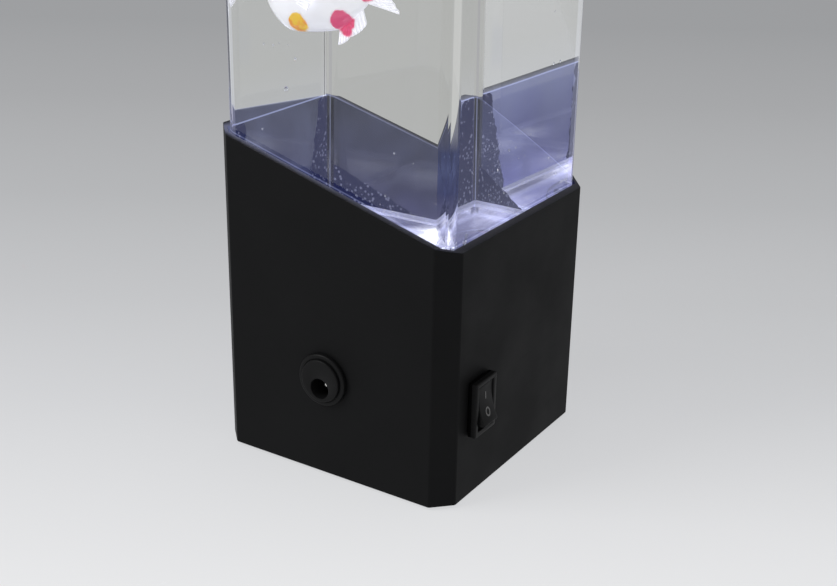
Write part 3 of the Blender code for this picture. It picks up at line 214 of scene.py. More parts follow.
mottles = {
    # clouds in waves a metre, their detail and the two tones; then what else the finish has
    "white_nylon": (260, 3.0, (0.74, 0.74, 0.68), (0.86, 0.86, 0.82), {
        "grain": (1800, 0.00001, 0.4), "Roughness": 0.42, "Subsurface_Weight": 0.1,
    }),
    "red_insulation": (400, 2.0, (0.55, 0.025, 0.018), (0.385, 0.0175, 0.0126), insulation),
    "black_insulation": (400, 2.0, (0.015, 0.015, 0.016), (0.0105, 0.0105, 0.0112), insulation),
    "grey_print": (2600, 3.0, (0.14, 0.14, 0.14), (0.08, 0.08, 0.08), {
        "range": (0.35, 0.75), "Roughness": 0.5,
    }),
    "fish_eye": (1500, 2.0, (0.004, 0.004, 0.005), (0.012, 0.012, 0.014), {
        "Roughness": 0.06, "Coat_Weight": 1.0,
    }),
    "eye_ring": (900, 2.0, (0.62, 0.64, 0.70), (0.85, 0.86, 0.90), {
        "glow": 0.2, "Roughness": 0.2, "Metallic": 0.4,
    }),
    "air_bubble": (1200, 2.0, (0.80, 0.84, 0.92), (1.0, 1.0, 1.0), {
        "glow": 0.04, "Roughness": 0.03, "IOR": 1.33, "Transmission_Weight": 0.8,
    }),
}


def mouldedBlack(colour, dusty, grain, depth, shine, smooth, rough):
    # black plastic or rubber: fine grain, soft clouds in the gloss and a little pale dust
    def surface(n):
        clouds = noise(n, *dusting["clouds"])
        fine = noise(n, grain)
        dust = spread(n, noise(n, *dusting["scuffs"]), *dusting["scuffRange"]) * dusting["share"]
        return principled(
            n,
            Base_Color=blend(n, dust, colour, dusty),
            Roughness=spread(n, clouds, *dusting["cloudRange"], smooth, rough) + dust * dusting["rough"],
            Normal=bump(n, fine, depth, dusting["grainStrength"]),
            Specular_IOR_Level=shine,
        )

    return surface


def brushedMetal(colour, rough, stretch):
    def surface(n):
        streaks = noise(n, *brushing["streaks"], stretch)
        stain = spread(n, noise(n, *brushing["stain"]), *brushing["stainRange"])
        dim, dull = [rough * share for share in brushing["roughShares"]]
        return principled(
            n,
            Base_Color=blend(n, stain, colour, [brushing["stainDim"] * part for part in colour]),
            Metallic=1.0,
            Roughness=spread(n, streaks, *brushing["streakRange"], dim, dull),
            Normal=bump(n, streaks, brushing["depth"], brushing["strength"]),
        )

    return surface


def mottled(scale, detail, first, second, more):
    # two tones in clouds; range is where these begin and end
    def surface(n):
        given = dict(more)
        share = spread(n, noise(n, scale, detail), *given.pop("range", (0.0, 1.0)))
        given["Base_Color"] = blend(n, share, first, second)
        if "glow" in given:
            given.update(Emission_Color=given["Base_Color"], Emission_Strength=given.pop("glow"))
        if "grain" in given:
            waves, depth, strength = given.pop("grain")
            given["Normal"] = bump(n, noise(n, waves), depth, strength)
        return principled(n, **given)

    return surface


for kind, rows in ((mouldedBlack, blacks), (brushedMetal, metals), (mottled, mottles)):
    for name, values in rows.items():
        newFinish(name, kind(*values))

board = {
    "trackScale": 190.0,
    "trackEdges": (0.05, 0.12),
    "trackDepth": 0.00003,
    "padPitch": 0.00254,
    "padHalf": 0.0005,
    "resist": ((0.008, 0.085, 0.032), (0.022, 0.17, 0.06)),
    "pad": (0.75, 0.74, 0.70),
    "rough": 0.42,
    "padShine": 0.15,
}


def boardSurface(n):
    # green resist over copper lines, with bright pads in a grid
    x, y, z = axes(n)
    lines = cells(n, board["trackScale"], "DISTANCE_TO_EDGE")
    track = spread(n, lines, *board["trackEdges"], 1.0, 0.0)
    across, along = [n.math("PINGPONG", part, board["padPitch"]) for part in (x, y)]
    pad = (across < board["padHalf"]) * (along < board["padHalf"])
    return principled(
        n,
        Base_Color=blend(n, pad, blend(n, track, *board["resist"]), board["pad"]),
        Roughness=board["rough"] - pad * board["padShine"],
        Metallic=pad,
        Normal=bump(n, track, board["trackDepth"]),
    )


newFinish("circuit_board", boardSurface)


# Clear parts and their light

tank = {
    "side": 0.0708,
    "wall": 0.002,
    "cornerRound": 0.0039,
    "cornerSteps": 32,
    "innerLeg": 0.0004,
    "edgeRound": 0.0002,
    "bottom": 0.0558,
    "top": 0.247,
    "floorTop": 0.0608,
    "waterTop": 0.2425,
    "acrylicIor": 1.49,
    "waterIor": 1.333,
}
base = {
    "side": 0.076,
    "cornerLeg": 0.0052,
    "wall": 0.0015,
    "rimWall": 0.0023,
    "seatLeg": 0.0021,
    "bottom": 0.0008,
    "rimLow": 0.0729,
    "rimHigh": 0.0942,
    "ledgeTop": 0.0542,
    "ledgeBottom": 0.0512,
    "ledgeOpening": 0.0632,
    "sharpAngle": 25,
    "uprightRound": (0.0004, 3),  # width and segments
    "edgeRound": (0.00035, 2),
    "rimRound": (0.0009, 4),
    "inwardLeast": 0.7,  # which faces take the inner wall's finish and the rim's
    "slopeLeast": 0.2,
    "rimReach": 0.002,
}
clear = {
    "tint": (0.985, 0.99, 1.0),
    "waves": (28, 1.0),
    "waveDepth": (0.0004, 0.10),
    "scratches": (60, 3.0, (1.0, 1.0, 24.0)),
    "scratchHaze": (0.72, 0.85, 0.0, 0.03),
}
# marks on the tube: dark patches, tints, and haze and pale lines that glow from the sheet as painted light
tubeMarks = {
    # the dark patches' glow and their specks' glow, painted light
    "tone": (0.012, 0.016, 0.070),
    "speck": (0.135, 0.145, 0.245),
    "speckCells": (720.0, 0.30),
    "speckPatches": (210, 0.42),
    "share": 0.97,
    "ragged": (320, 3.0),
    "raggedReach": 0.005,
    "skin": 0.0003,  # how deep a wall's outer face reaches
    # the left wall's dark patches, at the floor and at the rim: behind and in front
    "widths": ((0.016, 0.0075), (0.0155, 0.0122)),
    "wedgeLength": 0.034,
    "wedgeHeight": 0.0127,
    "rightReach": 0.005,
    "rightRagged": 0.3,
    "rightLow": 0.2,
    "lineHalf": 0.00022,
    "lineShares": (0.80, 0.30),  # the pale line along the rim, a painted reflection: on the left wall and elsewhere
    "hazeGlow": (0.24, 0.27, 0.44),
    "hazeShares": (0.02, 0.12, 0.16),  # haze that glows as painted light: on every wall, and more on the left and the back
    "hazeClouds": (70, 4.0),
    "hazeRange": (0.35, 0.70, 0.3, 1.0),
    # painted glow over the rim on the left wall, and the height it fades over
    "fog": 0.10,
    "fogHeight": 0.013,
    "edgeShare": 0.60,  # the pale line up the far corner, a painted highlight
    "edgeReach": 0.0023,
    "edgeHeights": (0.0928, 0.0942),
    "greyReach": 0.00237,  # higher up it turns to a grey line
    "edgeTint": (0.80, 0.78, 0.87),
    "tint": (0.978, 0.980, 0.992),
    "cornerTint": (0.20, 0.30, 0.80),
    "tintHeights": (0.083, 0.088, 0.098, 0.104),
    "pale": (0.95, 0.95, 0.92),
    "paleShare": 0.11,  # a painted pale streak of light up the right part of the near corner; its left part is greyer
    "palePlaces": (0.0002, 0.0029),
    "paleHeights": (0.0985, 0.1025),
    "greyPlace": -0.0004,
    "greyTint": (0.93, 0.93, 0.925),
    "endPale": 0.05,
    "endShare": 0.14,  # the pale ends of the two near walls, painted glow, violet in their lower part
    "endTint": (0.62, 0.58, 0.82),
    "endHeights": (0.0985, 0.1010),
    "endReach": 0.0062,
}


def rimHeight(x):
    return base["rimHigh"] + (base["rimLow"] - base["rimHigh"]) * (0.5 + x / base["side"])


def clearSurface(ior, tint=clear["tint"], paintedGlow=(0, 0, 0)):
    # polished sheet: slow waves and a few faint scratches, and any painted glow that is given to it
    def surface(n):
        return principled(
            n,
            Base_Color=tint,
            Roughness=spread(n, noise(n, *clear["scratches"]), *clear["scratchHaze"]),
            IOR=ior,
            Transmission_Weight=1.0,
            Normal=bump(n, noise(n, *clear["waves"]), *clear["waveDepth"]),
            Emission_Color=paintedGlow,
        )

    return surface


def tubeSurface(n):
    # clear tube: dark patches with small bubbles below the rim, haze and a pale line along the rim;
    # the patches' tone and specks, the haze's glow and the pale lines are painted light that glows from the
    # sheet
    x, y, z = axes(n)
    half = tank["side"] / 2
    diagonal = 2 * half
    rim = rimHeight(x)
    under = z < rim
    onLeft = x < tubeMarks["skin"] - half
    onBack = y > half - tubeMarks["skin"]

    # the dark patches, with specks; their tone and the specks glow as painted light
    rise = spread(n, z, tank["floorTop"], base["rimHigh"])
    ragged = (noise(n, *tubeMarks["ragged"]) - 0.5) * tubeMarks["raggedReach"]
    backWidth, frontWidth = [low + rise * (high - low) for low, high in tubeMarks["widths"]]
    leftBack = onLeft * ((y + backWidth + ragged) > half)
    leftFront = onLeft * ((y - frontWidth + ragged) < -half)
    wedge = 1.0 - (z - tank["floorTop"]) * (1.0 / tubeMarks["wedgeHeight"])
    backCorner = onBack * ((x + half + ragged) < wedge * tubeMarks["wedgeLength"])
    rightPlace = x + wedge * tubeMarks["rightReach"] + ragged * tubeMarks["rightRagged"]
    rightCorner = onBack * (rightPlace > half) * (wedge > tubeMarks["rightLow"])
    dark = most(n, leftBack, leftFront, backCorner, rightCorner) * under
    speckScale, speckSize = tubeMarks["speckCells"]
    patchScale, patchLeast = tubeMarks["speckPatches"]
    speck = (cells(n, speckScale) < speckSize) * (noise(n, patchScale) > patchLeast)

    # painted light: glowing haze, a glow over the rim on the left wall, and the pale lines
    # the pale line along the rim: a painted reflection of the rim's edge
    line = n.math("ABSOLUTE", z - rim - tubeMarks["lineHalf"]) < tubeMarks["lineHalf"]
    lineLeft, lineElse = tubeMarks["lineShares"]
    lineShare = line * (lineElse + onLeft * (lineLeft - lineElse))
    clouds = spread(n, noise(n, *tubeMarks["hazeClouds"]), *tubeMarks["hazeRange"])
    hazeFront, hazeLeft, hazeBack = tubeMarks["hazeShares"]
    hazeGlow = under * clouds * (hazeFront + onLeft * hazeLeft + onBack * hazeBack)
    fog = onLeft * (1.0 - under) * spread(n, z - rim, 0.0, tubeMarks["fogHeight"], tubeMarks["fog"], 0.0)
    over = spread(n, z, *tubeMarks["edgeHeights"])
    # the pale line up the far corner: a painted highlight
    backEdge = ((y - x) > diagonal - tubeMarks["edgeReach"]) * (1.0 - over)
    greyEdge = ((y - x) > diagonal - tubeMarks["greyReach"]) * over
    # the pale ends of the near walls: painted glow
    leftEnd = (x + y) < tank["cornerRound"] + near / 2 - diagonal
    rightEnd = (x > half - tubeMarks["skin"]) * (y > half - tubeMarks["endReach"])
    ends = most(n, leftEnd, rightEnd)
    hazeGlow = (hazeGlow + fog) * (1.0 - dark) + lineShare + backEdge * tubeMarks["edgeShare"] + ends * tubeMarks["endShare"]
    corner = (x - y) > diagonal - tank["cornerRound"] + near
    paleLow, paleHigh = tubeMarks["palePlaces"]
    above = corner * spread(n, z, *tubeMarks["paleHeights"])
    # a pale streak of painted light up the near corner
    paleBand = above * ((x + y) > paleLow) * ((x + y) < paleHigh)
    pale = scaled(n, tubeMarks["pale"], paleBand * tubeMarks["paleShare"] + ends * tubeMarks["endPale"])
    paintedGlow = n.node("VectorMath", {"operation": "ADD"}, {0: scaled(n, tubeMarks["hazeGlow"], hazeGlow), 1: pale})

    # tints
    low, lower, higher, high = tubeMarks["tintHeights"]
    tinted = corner * spread(n, z, low, lower) * spread(n, z, higher, high, 1.0, 0.0)
    tint = blend(n, tinted, tubeMarks["tint"], tubeMarks["cornerTint"])
    tint = blend(n, ends * spread(n, z, *tubeMarks["endHeights"], 1.0, 0.0), tint, tubeMarks["endTint"])
    tint = blend(n, above * ((x + y) < tubeMarks["greyPlace"]), tint, tubeMarks["greyTint"])
    tint = blend(n, greyEdge, tint, tubeMarks["edgeTint"])
    # the dark patches: near black, with a dark violet glow and bright specks of painted light
    darkPatchGlow = principled(
        n,
        Base_Color=(0.02, 0.02, 0.025),
        Roughness=0.5,
        Specular_IOR_Level=0.1,
        Emission_Color=blend(n, speck, tubeMarks["tone"], tubeMarks["speck"]),
    )
    return mixed(n, dark * tubeMarks["share"], clearSurface(tank["acrylicIor"], tint, paintedGlow)(n), darkPatchGlow)


newFinish("tube_acrylic", tubeSurface)
newFinish("clear_acrylic", clearSurface(tank["acrylicIor"]))
newFinish("wet_acrylic", clearSurface(tank["acrylicIor"] / tank["waterIor"]))
newFinish("water_top", clearSurface(tank["waterIor"]))

glow = {
    # place, strength and reach of the light over each lamp, and of what spills between them
    "pools": (
        (0.0240, -0.0240, 1.0, 0.0100),
        (0.0230, 0.0215, 1.5, 0.0105),
        (0.0090, 0.0240, 1.3, 0.0075),
        (-0.0225, -0.0225, 0.8, 0.0120),
        (-0.0180, 0.0290, 0.32, 0.0120),
        (0.0030, 0.0120, 0.20, 0.0080),
        (0.0, 0.0, 0.05, 0.0300),
    ),
    "bright": (0.93, 0.95, 1.0),
    "dim": (0.28, 0.28, 0.62),
    "least": 0.10,
    "clouds": (240, 4.0),
    "cloudLight": (0.3, 0.7, 0.65, 1.25),
    "cloudRough": (0.4, 0.6, 0.08, 0.26),
    "ripple": 150,
    "rippleDepth": (0.0002, 0.3),
    "skin": 0.0002,  # the floor's top face
    "wetColour": (0.93, 0.95, 1.0),
    "dryColour": (0.95, 0.97, 1.0),
    "dryRough": 0.12,
}


def lampLight(n):
    # how brightly the four lamps light a point of the tank floor
    x, y, z = axes(n)
    total = 0.0
    for poolX, poolY, strength, reach in glow["pools"]:
        across = x - poolX
        along = y - poolY
        apart = (across * across + along * along) * (-1.0 / reach**2)
        total = n.math("EXPONENT", apart) * strength + total
    return total


def litFloorSurface(n):
    x, y, z = axes(n)
    clouds = noise(n, *glow["clouds"])
    light = lampLight(n) * spread(n, clouds, *glow["cloudLight"]) + glow["least"]
    colour = blend(n, n.math("MINIMUM", light, 1.0), glow["dim"], glow["bright"])
    wet = principled(
        n,
        Base_Color=glow["wetColour"],
        Roughness=spread(n, clouds, *glow["cloudRough"]),
        IOR=tank["acrylicIor"] / tank["waterIor"],
        Transmission_Weight=1.0,
        Emission_Color=scaled(n, colour, light),
        Normal=bump(n, noise(n, glow["ripple"]), *glow["rippleDepth"]),
    )
    dry = principled(
        n,
        Base_Color=glow["dryColour"],
        Roughness=glow["dryRough"],
        IOR=tank["acrylicIor"],
        Transmission_Weight=1.0,
    )
    return mixed(n, z > tank["floorTop"] - glow["skin"], dry, wet)


newFinish("lit_floor", litFloorSurface)

innerWall = {
    "stops": (
        (0.0, (0.120, 0.125, 0.36)),
        (0.22, (0.080, 0.086, 0.235)),
        (0.55, (0.082, 0.090, 0.205)),
        (1.0, (0.104, 0.116, 0.205)),
    ),
    "clouds": (110, 4.0),
    "cloudShare": 0.35,
    "patches": 38,
    "patchShare": 0.6,
    "cornerReach": 0.0045,
    "cornerDim": 0.35,
    "level": (0.30, 0.20),  # at the floor, and how much less at the top
    "leftLevel": (0.60, 1.1),  # how much more on the left wall, there and at the top
    "colour": (0.006, 0.006, 0.008),
    "rough": 0.8,
}


def innerWallSurface(n):
    # the housing's inner wall: black plastic that shows the lamps' violet light
    x, y, z = axes(n)
    height = spread(n, z, tank["floorTop"], base["rimHigh"])
    clouds = (noise(n, *innerWall["clouds"]) - 0.5) * innerWall["cloudShare"]
    patches = (noise(n, innerWall["patches"]) - 0.5) * innerWall["patchShare"]
    wall = base["side"] / 2 - base["rimWall"]
    onLeft = x < near - wall
    corner = (n.math("ABSOLUTE", x) + n.math("ABSOLUTE", y)) > 2 * wall - innerWall["cornerReach"]
    top = height * height
    low, fall = innerWall["level"]
    more, topMore = innerWall["leftLevel"]
    level = (low - top * fall + onLeft * (more + top * topMore)) * (1.0 - corner * innerWall["cornerDim"])
    return principled(
        n,
        Base_Color=innerWall["colour"],
        Roughness=innerWall["rough"],
        Emission_Color=scaled(n, ramp(n, height + clouds + patches, innerWall["stops"]), level),
        Specular_IOR_Level=0.0,
    )


newFinish("lit_inner_wall", innerWallSurface)

rimLight = {
    "tones": ((0.006, 0.006, 0.009), (0.112, 0.120, 0.190)),
    "clouds": (160, 3.0),
    "cloudShare": (0.3, 0.7, 0.6, 1.1),
    "edges": (0.0022, 0.0003),
    "fall": (-0.03, 0.036, 1.1, 0.1),
    "grain": 1800,
    "grainDepth": (0.00001, 0.4),
    "rough": 0.42,
    "shine": 0.08,
}


def rimSurface(n):
    # the rim: black plastic that catches the violet light inside, more on its high side
    x, y, z = axes(n)
    reach = most(n, n.math("ABSOLUTE", x), n.math("ABSOLUTE", y))
    start, end = [base["side"] / 2 - edge for edge in rimLight["edges"]]
    share = 1.0 - spread(n, reach, start, end)
    share = share * spread(n, noise(n, *rimLight["clouds"]), *rimLight["cloudShare"])
    return principled(
        n,
        Base_Color=blacks["moulded_black"][0],
        Roughness=rimLight["rough"],
        Emission_Color=blend(n, share * spread(n, x, *rimLight["fall"]), *rimLight["tones"]),
        Specular_IOR_Level=rimLight["shine"],
        Normal=bump(n, noise(n, rimLight["grain"]), *rimLight["grainDepth"]),
    )


newFinish("lit_rim", rimSurface)

led = {
    "foot": 0.0488,
    "tip": 0.0563,
    "stops": ((0.0, (0.30, 0.36, 0.7)), (0.45, (0.9, 0.94, 1.0)), (1.0, (1.0, 1.0, 1.0))),
    "colour": (0.9, 0.94, 1.0),
    "rough": 0.08,
}


def ledSurface(n):
    x, y, z = axes(n)
    colour = ramp(n, spread(n, z, led["foot"], led["tip"]), led["stops"])
    return principled(n, Base_Color=led["colour"], Roughness=led["rough"], Emission_Color=colour)


newFinish("led_lens", ledSurface)


# Mesh helpers


def bevelEdges(shape, edges, width, segments):
    bmesh.ops.bevel(
        shape,
        geom=[edge for edge in edges if edge.is_valid],
        offset=width,
        offset_type="OFFSET",
        affect="EDGES",
        segments=segments,
        profile=0.5,
        material=-1,
        clamp_overlap=True,
    )


def cubeShape(size, middle):
    shape = bmesh.new()
    bmesh.ops.create_cube(shape, size=1.0)
    bmesh.ops.scale(shape, vec=size, verts=shape.verts)
    bmesh.ops.translate(shape, vec=middle, verts=shape.verts)
    return shape


def column(side, leg, low, high):
    # a square column round the lamp's axis with chamfered corners
    shape = cubeShape((side, side, high - low), (0, 0, (low + high) / 2))
    bevelEdges(shape, uprights(shape.edges), leg, 1)
    return shape


def blockShape(low, high, edge=0.0, segments=2):
    shape = cubeShape(Vector(high) - Vector(low), (Vector(high) + Vector(low)) / 2)
    if edge:
        bevelEdges(shape, shape.edges, edge, segments)
    return shape


def rodShape(radius, tall, sides):
    shape = bmesh.new()
    bmesh.ops.create_cone(shape, cap_ends=True, segments=sides, radius1=radius, radius2=radius, depth=tall)
    return shape


def sheetShape(wide, tall, size=0.5):
    shape = bmesh.new()
    bmesh.ops.create_grid(shape, x_segments=wide, y_segments=tall, size=size)
    return shape


def facing(shape, direction):
    # the face that lies furthest in a direction and looks that way
    towards = Vector(direction)
    shape.normal_update()
    looking = [face for face in shape.faces if face.normal.dot(towards) > facingLeast]
    return max(looking, key=lambda face: face.calc_center_median().dot(towards))


def insetFace(shape, face, width):
    bmesh.ops.inset_individual(shape, faces=[face], thickness=width, use_even_offset=True)
    return face


def pushFace(shape, face, offset):
    made = bmesh.ops.extrude_discrete_faces(shape, faces=[face])["faces"][0]
    bmesh.ops.translate(shape, vec=offset, verts=made.verts)
    return made


def openFaces(shape, *faces):
    bmesh.ops.delete(shape, geom=list(faces), context="FACES_ONLY")
    bmesh.ops.remove_doubles(shape, verts=shape.verts, dist=same)


def evenFaces(shape):
    bmesh.ops.recalc_face_normals(shape, faces=shape.faces)
    return shape


def sharpEdges(shape, angle=30):
    limit = math.radians(angle)
    return [edge for edge in shape.edges if len(edge.link_faces) == 2 and edge.calc_face_angle(0) > limit]


def openEdges(shape):
    return [edge for edge in shape.edges if edge.is_boundary]


def uprights(edges, standing=True):
    # the edges that stand upright, or else the others
    found = []
    for edge in edges:
        run = edge.verts[0].co - edge.verts[1].co
        if (abs(run.normalized().z) > uprightLeast) == standing:
            found.append(edge)
    return found


def between(edges, axis, low=-1.0, high=1.0):
    # the edges with both ends between two places on an axis
    found = []
    for edge in edges:
        ends = [point.co[axis] for point in edge.verts]
        if min(ends) > low and max(ends) < high:
            found.append(edge)
    return found


def turnedShape(profile, segments=48):
    # a profile of (radius, height) points spun round Z; points on the axis become poles
    shape = bmesh.new()
    points = [shape.verts.new((radius, 0, height)) for radius, height in profile]
    edges = [shape.edges.new(pair) for pair in zip(points, points[1:])]
    bmesh.ops.spin(
        shape,
        geom=points + edges,
        axis=(0, 0, 1),
        cent=(0, 0, 0),
        dvec=(0, 0, 0),
        angle=math.tau,
        steps=segments,
        use_merge=True,
        use_duplicate=False,
    )
    bmesh.ops.remove_doubles(shape, verts=shape.verts, dist=same)
    return evenFaces(shape)


def ringLoft(rings, sides):
    # rings of (matrix, half width, half height), joined one after another and closed at both ends
    shape = bmesh.new()
    loops = []
    for matrix, across, along in rings:
        circle = bmesh.ops.create_circle(shape, segments=sides, radius=1.0, cap_ends=False)
        bmesh.ops.scale(shape, vec=(across, along, 1.0), verts=circle["verts"])
        bmesh.ops.transform(shape, matrix=matrix, verts=circle["verts"])
        loops.append({edge for vertex in circle["verts"] for edge in vertex.link_edges})
    for before, after in zip(loops, loops[1:]):
        bmesh.ops.bridge_loops(shape, edges=list(before | after))
    for loop in (loops[0], loops[-1]):
        bmesh.ops.contextual_create(shape, geom=list(loop))
    return evenFaces(shape)


def joinShapes(target, *others):
    # adds the other shapes to the first one
    for other in others:
        holder = bpy.data.meshes.new("joined")
        other.to_mesh(holder)
        other.free()
        target.from_mesh(holder)
        bpy.data.meshes.remove(holder)
    return target


def moved(shape, matrix):
    bmesh.ops.transform(shape, matrix=matrix, verts=shape.verts)
    return shape


def newObject(name, shape, *finishNames):
    # an object in the scene with a shape's mesh and the named finishes
    mesh = bpy.data.meshes.new(name)
    shape.to_mesh(mesh)
    shape.free()
    for finishName in finishNames:
        mesh.materials.append(finishes[finishName])
    made = bpy.data.objects.new(name, mesh)
    scene.collection.objects.link(made)
    return made


def addPiece(name, shape, finishNames, body, stands=(), smoothAngle=40):
    piece = newObject(name, shape, *finishNames)
    piece.data.shade_smooth()
    piece.data.set_sharp_from_angle(angle=math.radians(smoothAngle))
    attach(piece, body)
    if stands:
        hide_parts(*stands)
    return piece


def evenNormals(piece):
    # flat faces stay flat and only the rounded edges shade round
    step = piece.modifiers.new("even normals", "WEIGHTED_NORMAL")
    step.keep_sharp = True
    step.weight = 100


def refinish(finishName, *names):
    for name in names:
        nodes[name].data.materials.clear()
        nodes[name].data.materials.append(finishes[finishName])


# Base housing

bosses = {
    "cornerPlace": 0.0308,
    "cornerSize": (0.0034, 0.00155, 0.0036, 0.0166),  # radius, hole, foot and head
    "postPlace": 0.0331,
    "postSize": (0.0023, 0.0012, 0.0488, 0.0515),
    "holeShare": 0.8,
    "sides": 24,
}


def onOutline(vertex):
    # whether a point lies on the base's outer outline
    x, y = abs(vertex.co.x), abs(vertex.co.y)
    side = base["side"] / 2
    return max(x, y) > side - near or x + y > 2 * side - base["cornerLeg"] - near


def housingShape():
    shape = column(base["side"], base["cornerLeg"], base["bottom"], base["rimHigh"])
    upperReach = (base["side"] - 2 * base["rimWall"] - base["ledgeOpening"]) / 2
    lowerReach = (base["side"] - 2 * base["wall"] - base["ledgeOpening"]) / 2
    ledge = base["ledgeBottom"] - base["ledgeTop"]
    rim = insetFace(shape, facing(shape, (0, 0, 1)), base["rimWall"])
    room = pushFace(shape, rim, (0, 0, base["ledgeTop"] - base["rimHigh"]))
    seat = base["side"] / 2 - base["rimWall"]
    short = seat - base["seatLeg"]
    for vertex in shape.verts:
        x, y = vertex.co.x, vertex.co.y
        if abs(max(abs(x), abs(y)) - seat) < near:
            if abs(x) > abs(y):
                vertex.co.y = math.copysign(short, y)
            else:
                vertex.co.x = math.copysign(short, x)
    mouth = pushFace(shape, insetFace(shape, room, upperReach), (0, 0, ledge))
    under = insetFace(shape, facing(shape, (0, 0, -1)), base["wall"])
    lower = pushFace(shape, under, (0, 0, base["ledgeBottom"] - base["bottom"]))
    insetFace(shape, lower, lowerReach)
    openFaces(shape, mouth, lower)
    for vertex in shape.verts:
        if vertex.co.z > base["rimHigh"] - endReach:
            vertex.co.z = rimHeight(vertex.co.x)
    corners = [edge for edge in uprights(sharpEdges(shape)) if onOutline(edge.verts[0])]
    bevelEdges(shape, corners, *base["uprightRound"])
    level = uprights(sharpEdges(shape, base["sharpAngle"]), False)
    rimEdges = [edge for edge in between(level, 2, base["rimLow"] - endReach) if onOutline(edge.verts[0])]
    rest = [edge for edge in level if edge not in rimEdges]
    bevelEdges(shape, rimEdges, *base["rimRound"])
    bevelEdges(shape, rest, *base["edgeRound"])
    evenFaces(shape)
    for face in shape.faces:
        middle = face.calc_center_median()
        outward = face.normal.dot(Vector((middle.x, middle.y, 0)).normalized())
        if middle.z > base["ledgeTop"] and outward < -base["inwardLeast"]:
            face.material_index = 1
        elif middle.z > base["rimLow"] - base["rimReach"] and face.normal.z > base["slopeLeast"]:
            face.material_index = 2
    return shape


def bossShape(x, y, radius, hole, low, high):
    shape = rodShape(radius, high - low, bosses["sides"])
    bottom = insetFace(shape, facing(shape, (0, 0, -1)), radius - hole)
    pushFace(shape, bottom, (0, 0, bosses["holeShare"] * (high - low)))
    return moved(shape, Matrix.Translation((x, y, (low + high) / 2)))


housing = housingShape()
for side in (-1, 1):
    joinShapes(housing, bossShape(side * bosses["postPlace"], 0, *bosses["postSize"]))
    for end in (-1, 1):
        x, y = side * bosses["cornerPlace"], end * bosses["cornerPlace"]
        joinShapes(housing, bossShape(x, y, *bosses["cornerSize"]))
housingPiece = addPiece(
    "lamp_housing",
    housing,
    ["moulded_black", "lit_inner_wall", "lit_rim"],
    "lamp",
    ["base_housing"],
)


def carve(piece, *cutters):
    # cuts shapes out of a piece and keeps its finishes
    for cutter in cutters:
        holder = newObject("cutter", cutter)
        step = piece.modifiers.new("cut", "BOOLEAN")
        step.operation = "DIFFERENCE"
        step.solver = "EXACT"
        step.object = holder
        bpy.context.view_layer.update()
        graph = bpy.context.evaluated_depsgraph_get()
        result = bpy.data.meshes.new_from_object(piece.evaluated_get(graph))
        piece.modifiers.remove(step)
        old = piece.data
        piece.data = result
        bpy.data.meshes.remove(old)
        bpy.data.meshes.remove(holder.data)  # its object goes with it


jack = {
    "place": (-0.0012, -0.038, 0.0298),
    "flange": 0.0075,
    "flangeBack": 0.0003,
    "face": 0.0061,
    "flangeFront": 0.0015,
    "faceFront": 0.0023,
    "groove": (0.0003, 0.0002),  # width and depth of the groove round the face
    "round": 0.0005,
    "lipShare": 0.7,
    "barrel": 0.0056,
    "back": -0.0115,
    "bore": 0.0029,
    "drop": 0.0022,
    "boreFloor": -0.0082,
    "mouthAngle": 60,
    "mouthRound": (0.00025, 2),
    "sides": 64,
    "hole": (0.0059, 0.008, 48),  # radius, depth and sides
}
switch = {
    "place": (0.038, -0.0227, 0.0274),
    "width": 0.0105,
    "length": 0.0158,
    "back": 0.0003,
    "front": 0.0027,
    "frameWall": 0.00143,
    "bodyInset": 0.00077,
    "bodyBack": -0.011,
    "pocketDepth": 0.0066,
    "frameRound": (0.00035, 3),
    "hole": ((0.034, -0.0275, 0.0200), (0.042, -0.0179, 0.0348)),
    # painted shade on the bezel: how far out from the housing it reaches, and its finish
    "shadeReach": 0.0012,
    "shadeColour": (0.002, 0.002, 0.0022),
    "shadeRough": 0.6,
    "shadeShine": 0.02,
}

jackHole = moved(rodShape(*jack["hole"]), Matrix.Translation(jack["place"]) @ toFront)
carve(housingPiece, jackHole, blockShape(*switch["hole"]))
evenNormals(housingPiece)
print("housing made")


# Cap

cap = {
    "top": 0.258,
    "underside": 0.256,
    "seat": 0.2473,
    "seatReach": 0.0032,
    "shortEdge": 0.232,
    "longEdge": 0.2107,
    "topRound": (0.0012, 4),
}


def capShape():
    side = base["side"]
    shape = column(side, base["cornerLeg"], cap["longEdge"], cap["top"])
    room = insetFace(shape, facing(shape, (0, 0, -1)), base["wall"])
    seat = pushFace(shape, room, (0, 0, cap["seat"] - cap["longEdge"]))
    pushFace(shape, insetFace(shape, seat, cap["seatReach"]), (0, 0, cap["underside"] - cap["seat"]))
    for vertex in shape.verts:
        if vertex.co.z < cap["longEdge"] + endReach:
            slant = (cap["shortEdge"] - cap["longEdge"]) * (0.5 + vertex.co.x / side)
            vertex.co.z = cap["longEdge"] + slant
    outer = [
        edge
        for edge in uprights(sharpEdges(shape))
        if max(abs(edge.verts[0].co.x), abs(edge.verts[0].co.y)) > side / 2 - near
    ]
    bevelEdges(shape, outer, *base["uprightRound"])
    topEdges = between(sharpEdges(shape, base["sharpAngle"]), 2, cap["top"] - near)
    bevelEdges(shape, topEdges, *cap["topRound"])
    level = uprights(sharpEdges(shape, base["sharpAngle"]), False)
    bevelEdges(shape, between(level, 2, high=cap["shortEdge"] + endReach), *base["edgeRound"])
    return shape


capPiece = addPiece("lamp_cap", capShape(), ["moulded_black"], "cap", ["cap_shell"])
evenNormals(capPiece)
print("cap made")


# Tank


